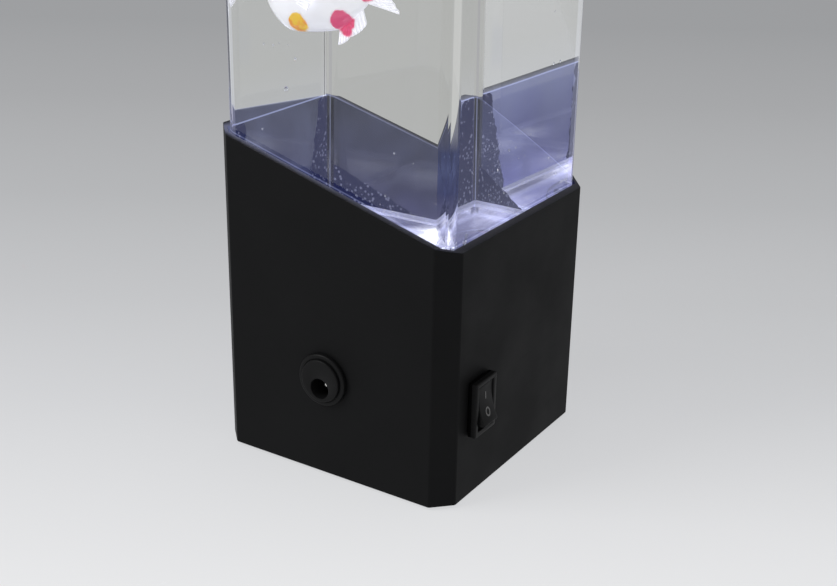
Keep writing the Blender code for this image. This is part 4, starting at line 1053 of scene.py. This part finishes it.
def tubeShape():
    half = tank["side"] / 2
    shape = blockShape((-half, -half, tank["bottom"]), (half, half, tank["top"]))
    upper = insetFace(shape, facing(shape, (0, 0, 1)), tank["wall"])
    lower = insetFace(shape, facing(shape, (0, 0, -1)), tank["wall"])
    through = pushFace(shape, upper, (0, 0, tank["bottom"] - tank["top"]))
    openFaces(shape, lower, through)
    standing = uprights(sharpEdges(shape))
    outer = [edge for edge in standing if abs(edge.verts[0].co.x) > half - near]
    inner = [edge for edge in standing if edge not in outer]
    bevelEdges(shape, outer, tank["cornerRound"], tank["cornerSteps"])
    bevelEdges(shape, inner, tank["innerLeg"], 1)
    bevelEdges(shape, uprights(sharpEdges(shape), False), tank["edgeRound"], 2)
    for height in (tank["floorTop"], tank["waterTop"]):
        bmesh.ops.bisect_plane(
            shape,
            geom=list(shape.verts) + list(shape.edges) + list(shape.faces),
            dist=same / 10,
            plane_co=(0, 0, height),
            plane_no=(0, 0, 1),
        )
    shape.normal_update()
    for face in shape.faces:
        middle = face.calc_center_median()
        inward = face.normal.dot(Vector((middle.x, middle.y, 0))) < 0
        if inward and tank["floorTop"] < middle.z < tank["waterTop"]:
            face.material_index = 1
    return shape


def waterShape():
    # the water's body: its sides lie on the walls, whose own faces bend the light
    inner = tank["side"] - 2 * tank["wall"] - near
    shape = column(inner, tank["innerLeg"], tank["floorTop"] + 3 * near, tank["waterTop"])
    for face in shape.faces:
        face.material_index = 0 if face.normal.z > facingLeast else 1
    return shape


def stillSurface(n):
    return principled(n, Base_Color=(0.9, 0.95, 1.0), Alpha=0.0, IOR=tank["waterIor"])


newFinish("water_body", stillSurface)
tubeFinishes = ["tube_acrylic", "wet_acrylic"]
tubePiece = addPiece("tank_walls", tubeShape(), tubeFinishes, "lamp", ["tank_tube"])
evenNormals(tubePiece)
addPiece("tank_water", waterShape(), ["water_top", "water_body"], "lamp")
print("tank made")


# Power jack


def roundedEdge(radius, front, soft, steps=4):
    # points of (radius, height) round an outer edge
    bend = [math.radians(90 * step / steps) for step in range(steps + 1)]
    return [(radius - soft + soft * math.cos(turn), front - soft + soft * math.sin(turn)) for turn in bend]


def jackShape():
    face, back, barrel, bore = jack["face"], jack["back"], jack["barrel"], jack["bore"]
    front = jack["flangeFront"]
    raised = jack["faceFront"]
    wide, deep = jack["groove"]
    profile = [(bore + near, back), (barrel, back), (barrel, jack["flangeBack"])]
    profile += [(jack["flange"], jack["flangeBack"])]
    profile += roundedEdge(jack["flange"], front, jack["round"])
    profile += [(face + wide, front), (face + deep, front - deep), (face, front - deep)]
    profile += roundedEdge(face, raised, jack["round"] * jack["lipShare"])
    profile += [(barrel - wide, raised)]
    shape = turnedShape(profile, jack["sides"])
    opening = between(openEdges(shape), 2, raised - near)
    ring = bmesh.ops.create_circle(shape, segments=jack["sides"], radius=bore, cap_ends=False)
    bmesh.ops.translate(shape, vec=(0, -jack["drop"], raised), verts=ring["verts"])
    mouth = {edge for vertex in ring["verts"] for edge in vertex.link_edges}
    bmesh.ops.bridge_loops(shape, edges=opening + list(mouth))
    made = bmesh.ops.extrude_edge_only(shape, edges=list(mouth))["geom"]
    bottom = [item for item in made if isinstance(item, bmesh.types.BMVert)]
    bmesh.ops.translate(shape, vec=(0, 0, jack["boreFloor"] - raised), verts=bottom)
    bmesh.ops.contextual_create(shape, geom=between(openEdges(shape), 2, back + endReach))
    bmesh.ops.contextual_create(shape, geom=openEdges(shape))
    evenFaces(shape)
    mouthEdges = between(sharpEdges(shape, jack["mouthAngle"]), 2, raised - near / 2)
    bevelEdges(shape, mouthEdges, *jack["mouthRound"])
    return moved(shape, Matrix.Translation(jack["place"]) @ toFront)


addPiece("power_jack", jackShape(), ["satin_black"], "lamp", ["jack_housing"])
print("jack made")


# Rocker switch


def switchFrameShape():
    middle = Vector(switch["place"])
    half = Vector((0, switch["width"] / 2, switch["length"] / 2))
    low = middle - half + Vector((switch["back"], 0, 0))
    high = middle + half + Vector((switch["front"], 0, 0))
    shape = blockShape(low, high)
    frontFace = insetFace(shape, facing(shape, (1, 0, 0)), switch["frameWall"])
    pushFace(shape, frontFace, (-switch["pocketDepth"], 0, 0))
    backFace = insetFace(shape, facing(shape, (-1, 0, 0)), switch["bodyInset"])
    pushFace(shape, backFace, (switch["bodyBack"] - switch["back"], 0, 0))
    front = middle.x + switch["front"] - near
    edges = between(sharpEdges(shape), 0, front)
    sides = [
        edge
        for edge in between(sharpEdges(shape), 0, middle.x)
        if edge not in edges and max(point.co.x for point in edge.verts) > front
    ]
    bevelEdges(shape, edges + sides, *switch["frameRound"])
    return shape


rocker = {
    "pivot": (0.0371, -0.0227, 0.0274),
    "tilt": -11.0,
    "width": 0.0070,
    "halfLength": 0.0056,
    "endRise": 0.0044,
    "middleRise": 0.0036,
    "waistHalf": 0.0059,
    "waistRise": 0.0008,
    "rootHalf": 0.0032,
    "rootDrop": 0.0020,
    "edgeAngle": 35,
    "edgeRound": (0.00025, 3),
    "faceSteps": 12,
}
rockerPlace = Matrix.Translation(rocker["pivot"]) @ Matrix.Rotation(math.radians(rocker["tilt"]), 4, "Y")


def rockerRise(along):
    # the face is a shallow hollow from end to end
    rise = (rocker["endRise"] - rocker["middleRise"]) * (along / rocker["halfLength"]) ** 2
    return rocker["middleRise"] + rise


def rockerShape():
    shape = bmesh.new()
    half, waist, root = rocker["halfLength"], rocker["waistHalf"], rocker["rootHalf"]
    rise, drop = rocker["waistRise"], -rocker["rootDrop"]
    places = [half - 2 * half * step / rocker["faceSteps"] for step in range(rocker["faceSteps"] + 1)]
    outline = [(rockerRise(along), along) for along in places]
    outline += [(rise, -waist), (drop, -root), (drop, root), (rise, waist)]
    side = shape.faces.new([shape.verts.new((x, -rocker["width"] / 2, z)) for x, z in outline])
    pushFace(shape, side, (0, rocker["width"], 0))
    bmesh.ops.holes_fill(shape, edges=openEdges(shape))
    evenFaces(shape)
    bevelEdges(shape, sharpEdges(shape, rocker["edgeAngle"]), *rocker["edgeRound"])
    return moved(shape, rockerPlace)


marks = {
    "height": 0.00006,
    "barPlace": 0.0023,
    "barLength": 0.0021,
    "barWidth": 0.00036,
    "barEdge": 0.00002,
    "ringPlace": -0.0024,
    "ringOuter": 0.00105,
    "ringInner": 0.00068,
    "ringStretch": 1.25,
    "ringSides": 40,
}


def markShapes():
    # the plain bar and ring that stand for on and off
    reach, half = marks["height"], marks["barWidth"] / 2
    low = marks["barPlace"] - marks["barLength"] / 2
    high = marks["barPlace"] + marks["barLength"] / 2
    bar = blockShape((-reach * 2, -half, low), (reach, half, high), marks["barEdge"], 1)
    outer, inner = marks["ringOuter"], marks["ringInner"]
    section = [(inner, -2 * reach), (outer, -2 * reach), (outer, reach), (inner, reach), (inner, -2 * reach)]
    ring = turnedShape(section, marks["ringSides"])
    oval = Matrix.Diagonal((marks["ringStretch"], 1, 1, 1))
    moved(ring, Matrix.Translation((0, 0, marks["ringPlace"])) @ toRight @ oval)
    shape = joinShapes(bar, ring)
    for vertex in shape.verts:
        vertex.co.x += rockerRise(vertex.co.z)
    return moved(shape, rockerPlace)


def bezelSurface(n):
    # satin black, with painted shade beside the housing and down in the pocket
    x, y, z = axes(n)
    deep = x < switch["place"][0] + switch["shadeReach"]
    shaded = principled(
        n,
        Base_Color=switch["shadeColour"],
        Roughness=switch["shadeRough"],
        Specular_IOR_Level=switch["shadeShine"],
    )
    return mixed(n, deep, mouldedBlack(*blacks["satin_black"])(n), shaded)


newFinish("switch_black_and_shade", bezelSurface)
addPiece("switch_bezel", switchFrameShape(), ["switch_black_and_shade"], "lamp", ["switch_frame"])
addPiece("rocker_key", rockerShape(), ["satin_black"], "rocker", ["switch_rocker"])
addPiece("rocker_marks", markShapes(), ["grey_print"], "rocker")
print("switch made")


# Fish

fish = {
    "centre": (-0.01316, -0.01563, 0.12858),
    # place from the centre, half thickness, rise and drop, in millimetres
    "stations": (
        (-16.8, 0.6, 0.5, 1.2),
        (-16.2, 1.6, 1.8, 2.9),
        (-14.9, 2.8, 3.5, 4.8),
        (-13.0, 4.1, 5.5, 6.8),
        (-11.0, 4.9, 7.1, 8.4),
        (-9.0, 5.3, 8.4, 9.3),
        (-6.8, 5.6, 9.3, 9.5),
        (-4.0, 5.8, 9.9, 9.2),
        (0.0, 5.6, 10.0, 8.8),
        (3.5, 5.0, 9.4, 8.2),
        (6.5, 4.1, 8.5, 7.6),
        (9.0, 3.2, 7.2, 6.2),
        (11.5, 2.2, 5.8, 3.6),
        (13.5, 1.4, 4.9, 1.6),
        (15.5, 0.9, 4.6, 0.2),
    ),
    "sides": 28,
    "rounding": 2,
    # tail, back fin, keel fin, rear fin, and a side fin on each side: root, tips, scoop, rays
    "fins": (
        (((14.0, 0, 0.8), (14.0, 0, 4.6)), ((24.5, 0, -1.0), (25.0, 0, 12.5)), 0.34, 9),
        (((-7.0, 0, 9.0), (8.5, 0, 7.2)), ((-2.0, 0, 14.0), (11.0, 0, 10.5)), -0.10, 10),
        (((6.6, 0, -6.0), (10.0, 0, -4.6)), ((6.0, 0, -10.9), (9.4, 0, -9.0)), -0.06, 4),
        (((7.8, 0, -5.8), (13.2, 0, 0.6)), ((9.2, 0, -8.7), (14.8, 0, -4.6)), -0.12, 6),
        (((-6.0, -5.2, 1.6), (-5.0, -5.2, -1.0)), ((0.8, -7.8, 2.8), (0.2, -8.0, -2.2)), -0.12, 5),
        (((-6.0, 5.2, 1.6), (-5.0, 5.2, -1.0)), ((0.8, 7.8, 2.8), (0.2, 8.0, -2.2)), -0.12, 5),
    ),
    "finGrid": (40, 8),
    "finRipple": (0.0003, 0.2),  # and the share of it at the root
    "finThick": 0.0005,
    "eye": (-0.0128, 0.0033, 0.0016),
    "eyeSize": 0.00145,
    "eyeTurn": -22,
    "eyeSides": 28,
    # radius and height, as shares of the eye's size
    "eyeDome": ((0, 0.62), (0.30, 0.56), (0.55, 0.36), (0.66, 0.20)),
    "eyeRing": ((0.78, 0.26), (0.94, 0.18), (1, -0.1), (1, -1), (0, -1)),
    "ringShare": 0.70,
    # patches: place from the centre and radius
    "yellow": ((-0.0050, -0.0066, 0.0029), (0.0005, 0.0062, 0.0040), (-0.0120, 0.0052, 0.0022)),
    "magenta": (
        (0.0081, -0.0048, 0.0030),
        (0.0088, -0.0074, 0.0015),
        (-0.0062, 0.0070, 0.0030),
        (0.0150, 0.0050, 0.0040),
    ),
    "patchWave": (300, 0.0020),
    "patchEdge": 0.0003,
    "shading": (150, 3.0),
    "whites": ((0.84, 0.85, 0.90), (0.93, 0.93, 0.96)),
    "yellows": ((0.86, 0.54, 0.025), (0.84, 0.32, 0.02)),
    "yellowClouds": (420, 0.42, 0.60),
    "magentas": ((0.62, 0.035, 0.13), (0.78, 0.08, 0.22)),
    "scales": (900.0, 0.00004, 0.35),
    "finRays": (260, 2.0, (1.0, 1.0, 6.0)),
    "finRayDepth": (0.0001, 0.5),
    "finWhites": ((0.78, 0.79, 0.86), (0.93, 0.93, 0.96)),
    "finMagentas": ((0.62, 0.035, 0.13), (0.80, 0.10, 0.26)),
    "glowShare": 0.50,
}
fishPlace = Matrix.Translation(fish["centre"])


def fishBodyShape():
    rings = []
    for along, thick, rise, drop in fish["stations"]:
        middle = Matrix.Translation((along / 1000, 0, (rise - drop) / 2000))
        rings.append((middle @ toRight, (rise + drop) / 2000, thick / 1000))
    return moved(ringLoft(rings, fish["sides"]), fishPlace)


def finShape(root, tips, scoop, rays):
    # a rippled sheet from a root line to a tip line, each given by its two ends in millimetres
    shape = sheetShape(*fish["finGrid"])
    ripple, rootShare = fish["finRipple"]
    for vertex in shape.verts:
        across = vertex.co.x + 0.5
        outward = vertex.co.y + 0.5
        start = Vector(root[0]).lerp(Vector(root[1]), across)
        end = Vector(tips[0]).lerp(Vector(tips[1]), across)
        end = end.lerp(start, scoop * math.sin(math.pi * across))
        spot = start.lerp(end, outward) / 1000
        spot.y += ripple * (rootShare + outward) * math.sin(across * rays * math.tau)
        vertex.co = spot
    bmesh.ops.solidify(shape, geom=list(shape.faces), thickness=fish["finThick"])
    return moved(evenFaces(shape), fishPlace)


def eyeShape(side):
    # a domed eye in a raised ring; the ring's faces take the second finish
    size = fish["eyeSize"]
    profile = [(size * across, size * up) for across, up in fish["eyeDome"] + fish["eyeRing"]]
    shape = turnedShape(profile, fish["eyeSides"])
    for face in shape.faces:
        if face.calc_center_median().xy.length > size * fish["ringShare"]:
            face.material_index = 1
    along, across, up = fish["eye"]
    spot = Matrix.Translation((along, across * side, up))
    lean = Matrix.Rotation(math.radians(fish["eyeTurn"]), 4, "Y")
    return moved(shape, fishPlace @ spot @ Matrix.Rotation(math.radians(-90 * side), 4, "X") @ lean)


def blotches(n, x, z, spots):
    # rounded patches with wavy edges, the same on both sides
    scale, reach = fish["patchWave"]
    wave = (noise(n, scale) - 0.5) * reach
    total = 0.0
    for spotX, spotZ, radius in spots:
        across = x - (fish["centre"][0] + spotX)
        along = z - (fish["centre"][2] + spotZ)
        apart = n.math("SQRT", across * across + along * along) + wave
        edge = fish["patchEdge"]
        total = most(n, spread(n, apart, radius - edge, radius + edge, 1.0, 0.0), total)
    return total


def fishSurface(n):
    x, y, z = axes(n)
    shading = noise(n, *fish["shading"])
    scale, low, high = fish["yellowClouds"]
    yellow = blend(n, spread(n, noise(n, scale), low, high), *fish["yellows"])
    magenta = blend(n, shading, *fish["magentas"])
    tone = blend(n, blotches(n, x, z, fish["yellow"]), blend(n, shading, *fish["whites"]), yellow)
    tone = blend(n, blotches(n, x, z, fish["magenta"]), tone, magenta)
    scale, depth, strength = fish["scales"]
    return principled(
        n,
        Base_Color=tone,
        Roughness=0.16,
        Coat_Weight=0.6,
        Coat_Roughness=0.06,
        Emission_Color=tone,
        Emission_Strength=fish["glowShare"],
        Normal=bump(n, cells(n, scale, "SMOOTH_F1"), depth, strength),
    )


def finSurface(n):
    # thin white film, as the body, with rays pressed into it
    x, y, z = axes(n)
    rays = noise(n, *fish["finRays"])
    white = blend(n, rays, *fish["finWhites"])
    magenta = blend(n, rays, *fish["finMagentas"])
    tone = blend(n, blotches(n, x, z, fish["magenta"]), white, magenta)
    return principled(
        n,
        Base_Color=tone,
        Roughness=0.24,
        Emission_Color=tone,
        Emission_Strength=fish["glowShare"],
        Normal=bump(n, rays, *fish["finRayDepth"]),
    )


newFinish("fish_white", fishSurface)
newFinish("fish_fin", finSurface)
fishPiece = addPiece(
    "fish_body", fishBodyShape(), ["fish_white"], "fish", ["fish_figure"], smoothAngle=180
)
rounding = fishPiece.modifiers.new("rounding", "SUBSURF")
rounding.levels = fish["rounding"]
rounding.render_levels = fish["rounding"]
fins = joinShapes(*[finShape(*values) for values in fish["fins"]])
addPiece("fish_fins", fins, ["fish_fin"], "fish", smoothAngle=60)
eyes = joinShapes(eyeShape(-1), eyeShape(1))
addPiece("fish_eyes", eyes, ["fish_eye", "eye_ring"], "fish")
print("fish made")


# Jellyfish

jelly = {
    # lengths are shares of the bell's radius
    "sides": 72,
    "crownSteps": 12,
    "lobes": 12,
    "rise": 0.82,
    "edge": ((1.015, -0.07), (1.02, -0.13), (0.985, -0.18), (0.94, -0.14), (0.915, -0.07)),
    "inside": (0.90, 0.68, 0.02),  # half width, height and drop of the hollow
    "lobeTop": 0.45,
    "lobeSpan": 0.6,
    "lobeReach": 0.055,
    "lobeDrop": 0.060,
    "ribs": 0.012,
    "armCount": 5,
    "armGrid": (8, 90),
    "armCircle": 0.36,
    "armLean": 0.2,
    "armTop": 0.40,
    "armLength": 2.0,
    "armShorter": 0.18,
    "armWidth": 0.40,
    "armTaper": 0.80,
    "armRuffles": 9,
    "ruffleLean": 1.5,
    "ruffleReach": 0.8,
    "armSway": (0.16, 0.8),
    "armThick": 0.00035,
    "threadCount": 24,
    "threadLength": 0.75,
    "threadShorter": 0.25,
    "threadRadius": 0.022,
    "threadTaper": 0.65,
    "threadPlace": (0.965, -0.13),
    "threadBend": (0.07, 5, 1.7, 0.6),
    "threadSteps": 8,
    "threadSides": 6,
    "deepDrop": 0.3,
    "clouds": (190, 3.0),
    "cloudShare": 0.35,
    "cloudDepth": (0.0004, 0.35),
    "specks": (520.0, 0.20, 0.5),
    "speckTone": (0.95, 0.93, 0.92),
    "glow": 0.22,
}


def bellShape(radius):
    # a thin soft bell: a profile spun round, then lobes pressed into its edge
    turns = [math.radians(90 * step / jelly["crownSteps"]) for step in range(jelly["crownSteps"] + 1)]
    wide, tall, drop = jelly["inside"]
    outer = [(math.sin(turn), jelly["rise"] * math.cos(turn)) for turn in turns]
    inner = [(wide * math.sin(turn), tall * math.cos(turn) - drop) for turn in reversed(turns)]
    profile = [(radius * across, radius * up) for across, up in [*outer, *jelly["edge"], *inner]]
    shape = turnedShape(profile, jelly["sides"])
    for vertex in shape.verts:
        turn = math.atan2(vertex.co.y, vertex.co.x)
        under = (jelly["lobeTop"] * radius - vertex.co.z) / (jelly["lobeSpan"] * radius)
        low = max(0.0, min(1.0, under))
        wave = math.cos(jelly["lobes"] * turn)
        ribs = 1 + jelly["ribs"] * math.cos(2 * jelly["lobes"] * turn) + jelly["lobeReach"] * low**2 * wave
        vertex.co.x *= ribs
        vertex.co.y *= ribs
        vertex.co.z -= jelly["lobeDrop"] * radius * low**2 * wave
    return shape


def armShape(radius, number, turn):
    # a hanging ribbon, wide and ruffled at the top and narrow at its tip
    shape = sheetShape(*jelly["armGrid"])
    length = radius * jelly["armLength"] * (1 - jelly["armShorter"] * (number % 2))
    swayReach, swayTurns = jelly["armSway"]
    for vertex in shape.verts:
        across = vertex.co.x * 2
        down = vertex.co.y + 0.5
        width = radius * jelly["armWidth"] * (1 - jelly["armTaper"] * down) / 2
        turned = down * jelly["armRuffles"] * math.tau + across * jelly["ruffleLean"] + number
        ruffle = across**2 * math.sin(turned) * width * jelly["ruffleReach"]
        sway = radius * swayReach * math.sin(down * math.tau * swayTurns + number)
        reach = radius * jelly["armCircle"] * (1 - jelly["armLean"] * down)
        vertex.co = Vector((reach + ruffle, across * width + sway, jelly["armTop"] * radius - length * down))
    bmesh.ops.solidify(shape, geom=list(shape.faces), thickness=jelly["armThick"])
    return moved(evenFaces(shape), Matrix.Rotation(turn, 4, "Z"))


def threadShape(radius, number):
    # a fine thread that hangs from the bell's edge and thins towards its end
    turn = math.tau * (number + 0.5) / jelly["threadCount"]
    length = radius * jelly["threadLength"] * (1 - jelly["threadShorter"] * (number % 3) / 2)
    out, top = jelly["threadPlace"]
    reach, turns, shift, lean = jelly["threadBend"]
    rings = []
    for step in range(jelly["threadSteps"] + 1):
        share = step / jelly["threadSteps"]
        bend = reach * radius * math.sin(share * turns + number * shift)
        spot = Matrix.Translation((out * radius + bend, bend * lean, top * radius - length * share))
        thick = radius * jelly["threadRadius"] * (1 - jelly["threadTaper"] * share)
        rings.append((Matrix.Rotation(turn, 4, "Z") @ spot, thick, thick))
    return ringLoft(rings, jelly["threadSides"])


def jellySurface(pale, deep, middle, radius):
    # soft clear silicone: pale at the crown, deep at the edge, with fine specks
    def surface(n):
        x, y, z = axes(n)
        height = spread(n, z, middle - jelly["deepDrop"] * radius, middle + jelly["rise"] * radius)
        clouds = noise(n, *jelly["clouds"])
        scale, size, strength = jelly["specks"]
        specks = cells(n, scale) < size
        share = n.math("MINIMUM", height + (clouds - 0.5) * jelly["cloudShare"], 1.0)
        tone = blend(n, specks * strength, blend(n, share, deep, pale), jelly["speckTone"])
        return principled(
            n,
            Base_Color=tone,
            Roughness=0.22,
            IOR=1.06,
            Transmission_Weight=0.5,
            Coat_Weight=0.35,
            Emission_Color=tone,
            Emission_Strength=jelly["glow"],
            Normal=bump(n, clouds, *jelly["cloudDepth"]),
        )

    return surface


def addJellyfish(name, node, body, slotName, where, radius, turn, pale, deep):
    newFinish(slotName, jellySurface(pale, deep, where[2], radius))
    count = jelly["armCount"]
    arms = [armShape(radius, number, math.tau * number / count + turn) for number in range(count)]
    threads = [threadShape(radius, number) for number in range(jelly["threadCount"])]
    shapes = {"bell": bellShape(radius), "arms": joinShapes(*arms), "threads": joinShapes(*threads)}
    for part, shape in shapes.items():
        stands = [node] if part == "bell" else ()
        moved(shape, Matrix.Translation(where))
        addPiece(f"{name}_{part}", shape, [slotName], body, stands, smoothAngle=80)


addJellyfish(
    "large_jellyfish", "jellyfish_1", "jelly_large", "jelly_pink",
    where=(0.01643, 0.01443, 0.190), radius=0.0125, turn=1.0,
    pale=(0.95, 0.52, 0.62), deep=(0.86, 0.13, 0.34),
)
addJellyfish(
    "small_jellyfish", "jellyfish_2", "jelly_small", "jelly_yellow",
    where=(-0.01583, 0.01543, 0.165), radius=0.0108, turn=2.0,
    pale=(0.98, 0.84, 0.46), deep=(0.92, 0.56, 0.10),
)
print("jellyfish made")


# Bead of glue round the tank floor, and small bubbles

bead = {
    "width": 0.0016,
    "height": 0.0014,
    "gap": 0.00006,
    "lift": 0.00004,
    "cuts": 40,
    "ragged": 0.016,
    "tone": (0.55, 0.57, 0.86),
    "speckTone": (0.95, 0.96, 1.0),
    "specks": (900.0, 0.25),
    "speckDepth": (0.0002, 0.6),
    "light": (0.5, 0.14),
}
bubbles = {
    "seed": 11,
    "onWalls": 26,
    "sizes": (0.00018, 0.00042),
    "inset": 0.8,
    "endGap": 0.003,
    "topGap": 0.002,
    "crowding": 1.6,
    # the two that show beside the fish: across and height on the front wall
    "frontSpots": ((-0.0154, 0.1068, 0.00070), (-0.0122, 0.1149, 0.00045)),
}


def beadShape():
    inner = tank["side"] - 2 * tank["wall"] - bead["gap"]
    low = tank["floorTop"] + bead["lift"]
    shape = column(inner, tank["innerLeg"], low, low + bead["height"])
    top = insetFace(shape, facing(shape, (0, 0, 1)), bead["width"])
    bmesh.ops.translate(shape, vec=(0, 0, -bead["height"]), verts=top.verts)
    bottom = insetFace(shape, facing(shape, (0, 0, -1)), bead["width"])
    openFaces(shape, top, bottom)
    long = [edge for edge in shape.edges if edge.calc_length() > inner / 2]
    bmesh.ops.subdivide_edges(shape, edges=long, cuts=bead["cuts"])
    draw = random.Random(bubbles["seed"])
    for vertex in shape.verts:
        x, y = abs(vertex.co.x), abs(vertex.co.y)
        if vertex.co.z < low + 2 * near and max(x, y) < (inner - bead["width"]) / 2:
            vertex.co.x *= 1 - draw.uniform(0.0, bead["ragged"])
            vertex.co.y *= 1 - draw.uniform(0.0, bead["ragged"])
    return evenFaces(shape)


def beadSurface(n):
    scale, size = bead["specks"]
    specks = cells(n, scale)
    share, least = bead["light"]
    tone = blend(n, specks < size, bead["tone"], bead["speckTone"])
    return principled(
        n,
        Base_Color=(0.9, 0.92, 1.0),
        Roughness=0.2,
        IOR=1.2,
        Transmission_Weight=0.85,
        Emission_Color=scaled(n, tone, lampLight(n) * share + least),
        Normal=bump(n, specks, *bead["speckDepth"]),
    )


def bubbleShape(where, radius):
    shape = bmesh.new()
    bmesh.ops.create_icosphere(shape, subdivisions=2, radius=radius)
    return moved(shape, Matrix.Translation(where))


def bubbleShapes():
    draw = random.Random(bubbles["seed"])
    wall = tank["side"] / 2 - tank["wall"]
    inset = bubbles["inset"]
    low = tank["floorTop"] + bubbles["topGap"]
    span = tank["waterTop"] - tank["floorTop"] - 2 * bubbles["topGap"]
    made = [bubbleShape((x, -wall + size * inset, z), size) for x, z, size in bubbles["frontSpots"]]
    for _ in range(bubbles["onWalls"]):
        size = draw.uniform(*bubbles["sizes"])
        along = draw.uniform(-wall + bubbles["endGap"], wall - bubbles["endGap"])
        height = low + span * draw.random() ** bubbles["crowding"]
        reach = wall - size * inset
        x, y = draw.choice(((reach, along), (-reach, along), (along, reach), (along, reach)))
        made.append(bubbleShape((x, y, height), size))
    return joinShapes(*made)


newFinish("glue_bead", beadSurface)
addPiece("floor_bead", beadShape(), ["glue_bead"], "lamp", smoothAngle=60)
addPiece("air_bubbles", bubbleShapes(), ["air_bubble"], "lamp", smoothAngle=180)
print("bead and bubbles made")


# Parts that keep their CAD shape

numbered = {
    # finish: the name that like parts share, and how many there are
    "black_rubber": ("rubber_foot", 4),
    "zinc_steel": ("plate_screw", 4),
    "led_lens": ("led", 4),
    "contact_brass": ("switch_terminal", 2),
}
for finishName, (part, count) in numbered.items():
    refinish(finishName, *[f"{part}_{number + 1}" for number in range(count)])
refinish("zinc_steel", "board_screw_1", "board_screw_2", "mount_screw_1", "mount_screw_2")
refinish("zinc_steel", "motor_shaft", "impeller_pin")
refinish("dark_ferrite", "hub_magnet_1", "hub_magnet_2", "impeller_magnet_1", "impeller_magnet_2")
refinish("satin_black", "bottom_plate", "control_chip", "motor_mount")
refinish("black_rubber", "tank_gasket", "fill_plug")
refinish("lit_floor", "tank_floor", "impeller_cover")
refinish("clear_acrylic", "tank_top")
refinish("bright_nickel", "jack_pin", "jack_nut")
refinish("contact_brass", "jack_lug")
refinish("drawn_can", "drive_motor")
refinish("white_nylon", "magnet_hub", "impeller", "wire_socket")
refinish("circuit_board", "led_board")
refinish("red_insulation", "jack_switch_wire", "switch_wire", "motor_wire_1")
refinish("black_insulation", "jack_wire", "motor_wire_2")


# Studio

studio = {
    "world": 0.50,
    "worldSeen": (0.60, 0.605, 0.62),
    "throughTank": (0.485, 0.490, 0.462),
    "floorSpan": 60.0,
    "floorSeen": 0.8,
    "floorRange": (-0.10, 0.70),  # away from the lamp along the camera's view
    "floorStops": (
        (0.0, (0.845, 0.850, 0.862)),
        (0.145, (0.665, 0.672, 0.690)),
        (0.246, (0.570, 0.577, 0.592)),
        (0.392, (0.478, 0.485, 0.498)),
        (0.618, (0.404, 0.409, 0.420)),
        (0.900, (0.355, 0.361, 0.372)),
    ),
    "lights": (("key_light", (-0.9, -1.0, 1.2), 19.0), ("fill_light", (1.3, 0.1, 0.9), 0.8)),
    "lightSize": 0.9,
    "target": (0, 0, 0.06),
}
camera = {
    "place": (0.19433, -0.30202, 0.18974),
    "yaw": 32.143,
    "pitch": 22.304,
    "roll": 1.066,
    "lens": 57.78,
    "sensor": 36.0,
    "clipStart": 0.01,
}
yaw, pitch, roll = [math.radians(camera[turn]) for turn in ("yaw", "pitch", "roll")]
viewLevel = Vector((-math.sin(yaw), math.cos(yaw), 0))  # the camera's view, laid level


def rayShare(n, *kinds):
    # 1 where the ray is one of these kinds
    total = 0.0
    for kind in kinds:
        total = n.node("LightPath", output=f"Is {kind} Ray") + total
    return n.math("MINIMUM", total, 1.0)


def floorSurface(n):
    # pale floor, paler towards the front; what is seen of it comes mostly from its own tone
    x, y, z = axes(n)
    away = x * viewLevel.x + y * viewLevel.y
    tone = ramp(n, spread(n, away, *studio["floorRange"]), studio["floorStops"])
    seen = blend(n, rayShare(n, "Transmission"), tone, studio["throughTank"])
    lit = n.node("BsdfDiffuse", {}, {"Color": tone})
    bright = n.node("Emission", {}, {"Color": seen, "Strength": 1.0})
    share = rayShare(n, "Camera", "Glossy", "Transmission") * studio["floorSeen"]
    return mixed(n, share, lit, bright)


def worldSurface(n):
    soft = n.node("Background", {}, {"Color": (1, 1, 1), "Strength": studio["world"]})
    seen = n.node("Background", {}, {"Color": studio["worldSeen"], "Strength": 1.0})
    return mixed(n, rayShare(n, "Camera", "Transmission"), soft, seen)


def addLight(name, where, power):
    lamp = bpy.data.lights.new(name, "AREA")
    lamp.size = studio["lightSize"]
    lamp.energy = power
    made = bpy.data.objects.new(name, lamp)
    made.location = where
    aim = Vector(studio["target"]) - Vector(where)
    made.rotation_euler = aim.to_track_quat("-Z", "Y").to_euler()
    scene.collection.objects.link(made)


def addCamera():
    right = Vector((math.cos(yaw), math.sin(yaw), 0))
    down = Vector((0, 0, -1))
    forward = viewLevel * math.cos(pitch) + down * math.sin(pitch)
    up = viewLevel * math.sin(pitch) - down * math.cos(pitch)
    turnedRight = right * math.cos(roll) + up * math.sin(roll)
    turnedUp = up * math.cos(roll) - right * math.sin(roll)
    rows = Matrix((turnedRight, turnedUp, -forward)).transposed()
    lens = bpy.data.cameras.new("camera")
    lens.lens = camera["lens"]
    lens.sensor_width = camera["sensor"]
    lens.sensor_fit = "HORIZONTAL"
    lens.clip_start = camera["clipStart"]
    made = bpy.data.objects.new("camera", lens)
    made.matrix_world = Matrix.Translation(camera["place"]) @ rows.to_4x4()
    scene.collection.objects.link(made)
    scene.camera = made


newFinish("studio_floor", floorSurface)
newObject("studio_floor", sheetShape(2, 2, studio["floorSpan"] / 2), "studio_floor")
for values in studio["lights"]:
    addLight(*values)
scene.world = bpy.data.worlds.new("studio")
scene.world.use_nodes = True
fillTree(scene.world.node_tree, "OutputWorld", worldSurface)
addCamera()
scene.view_settings.view_transform = "Standard"
print("studio ready")
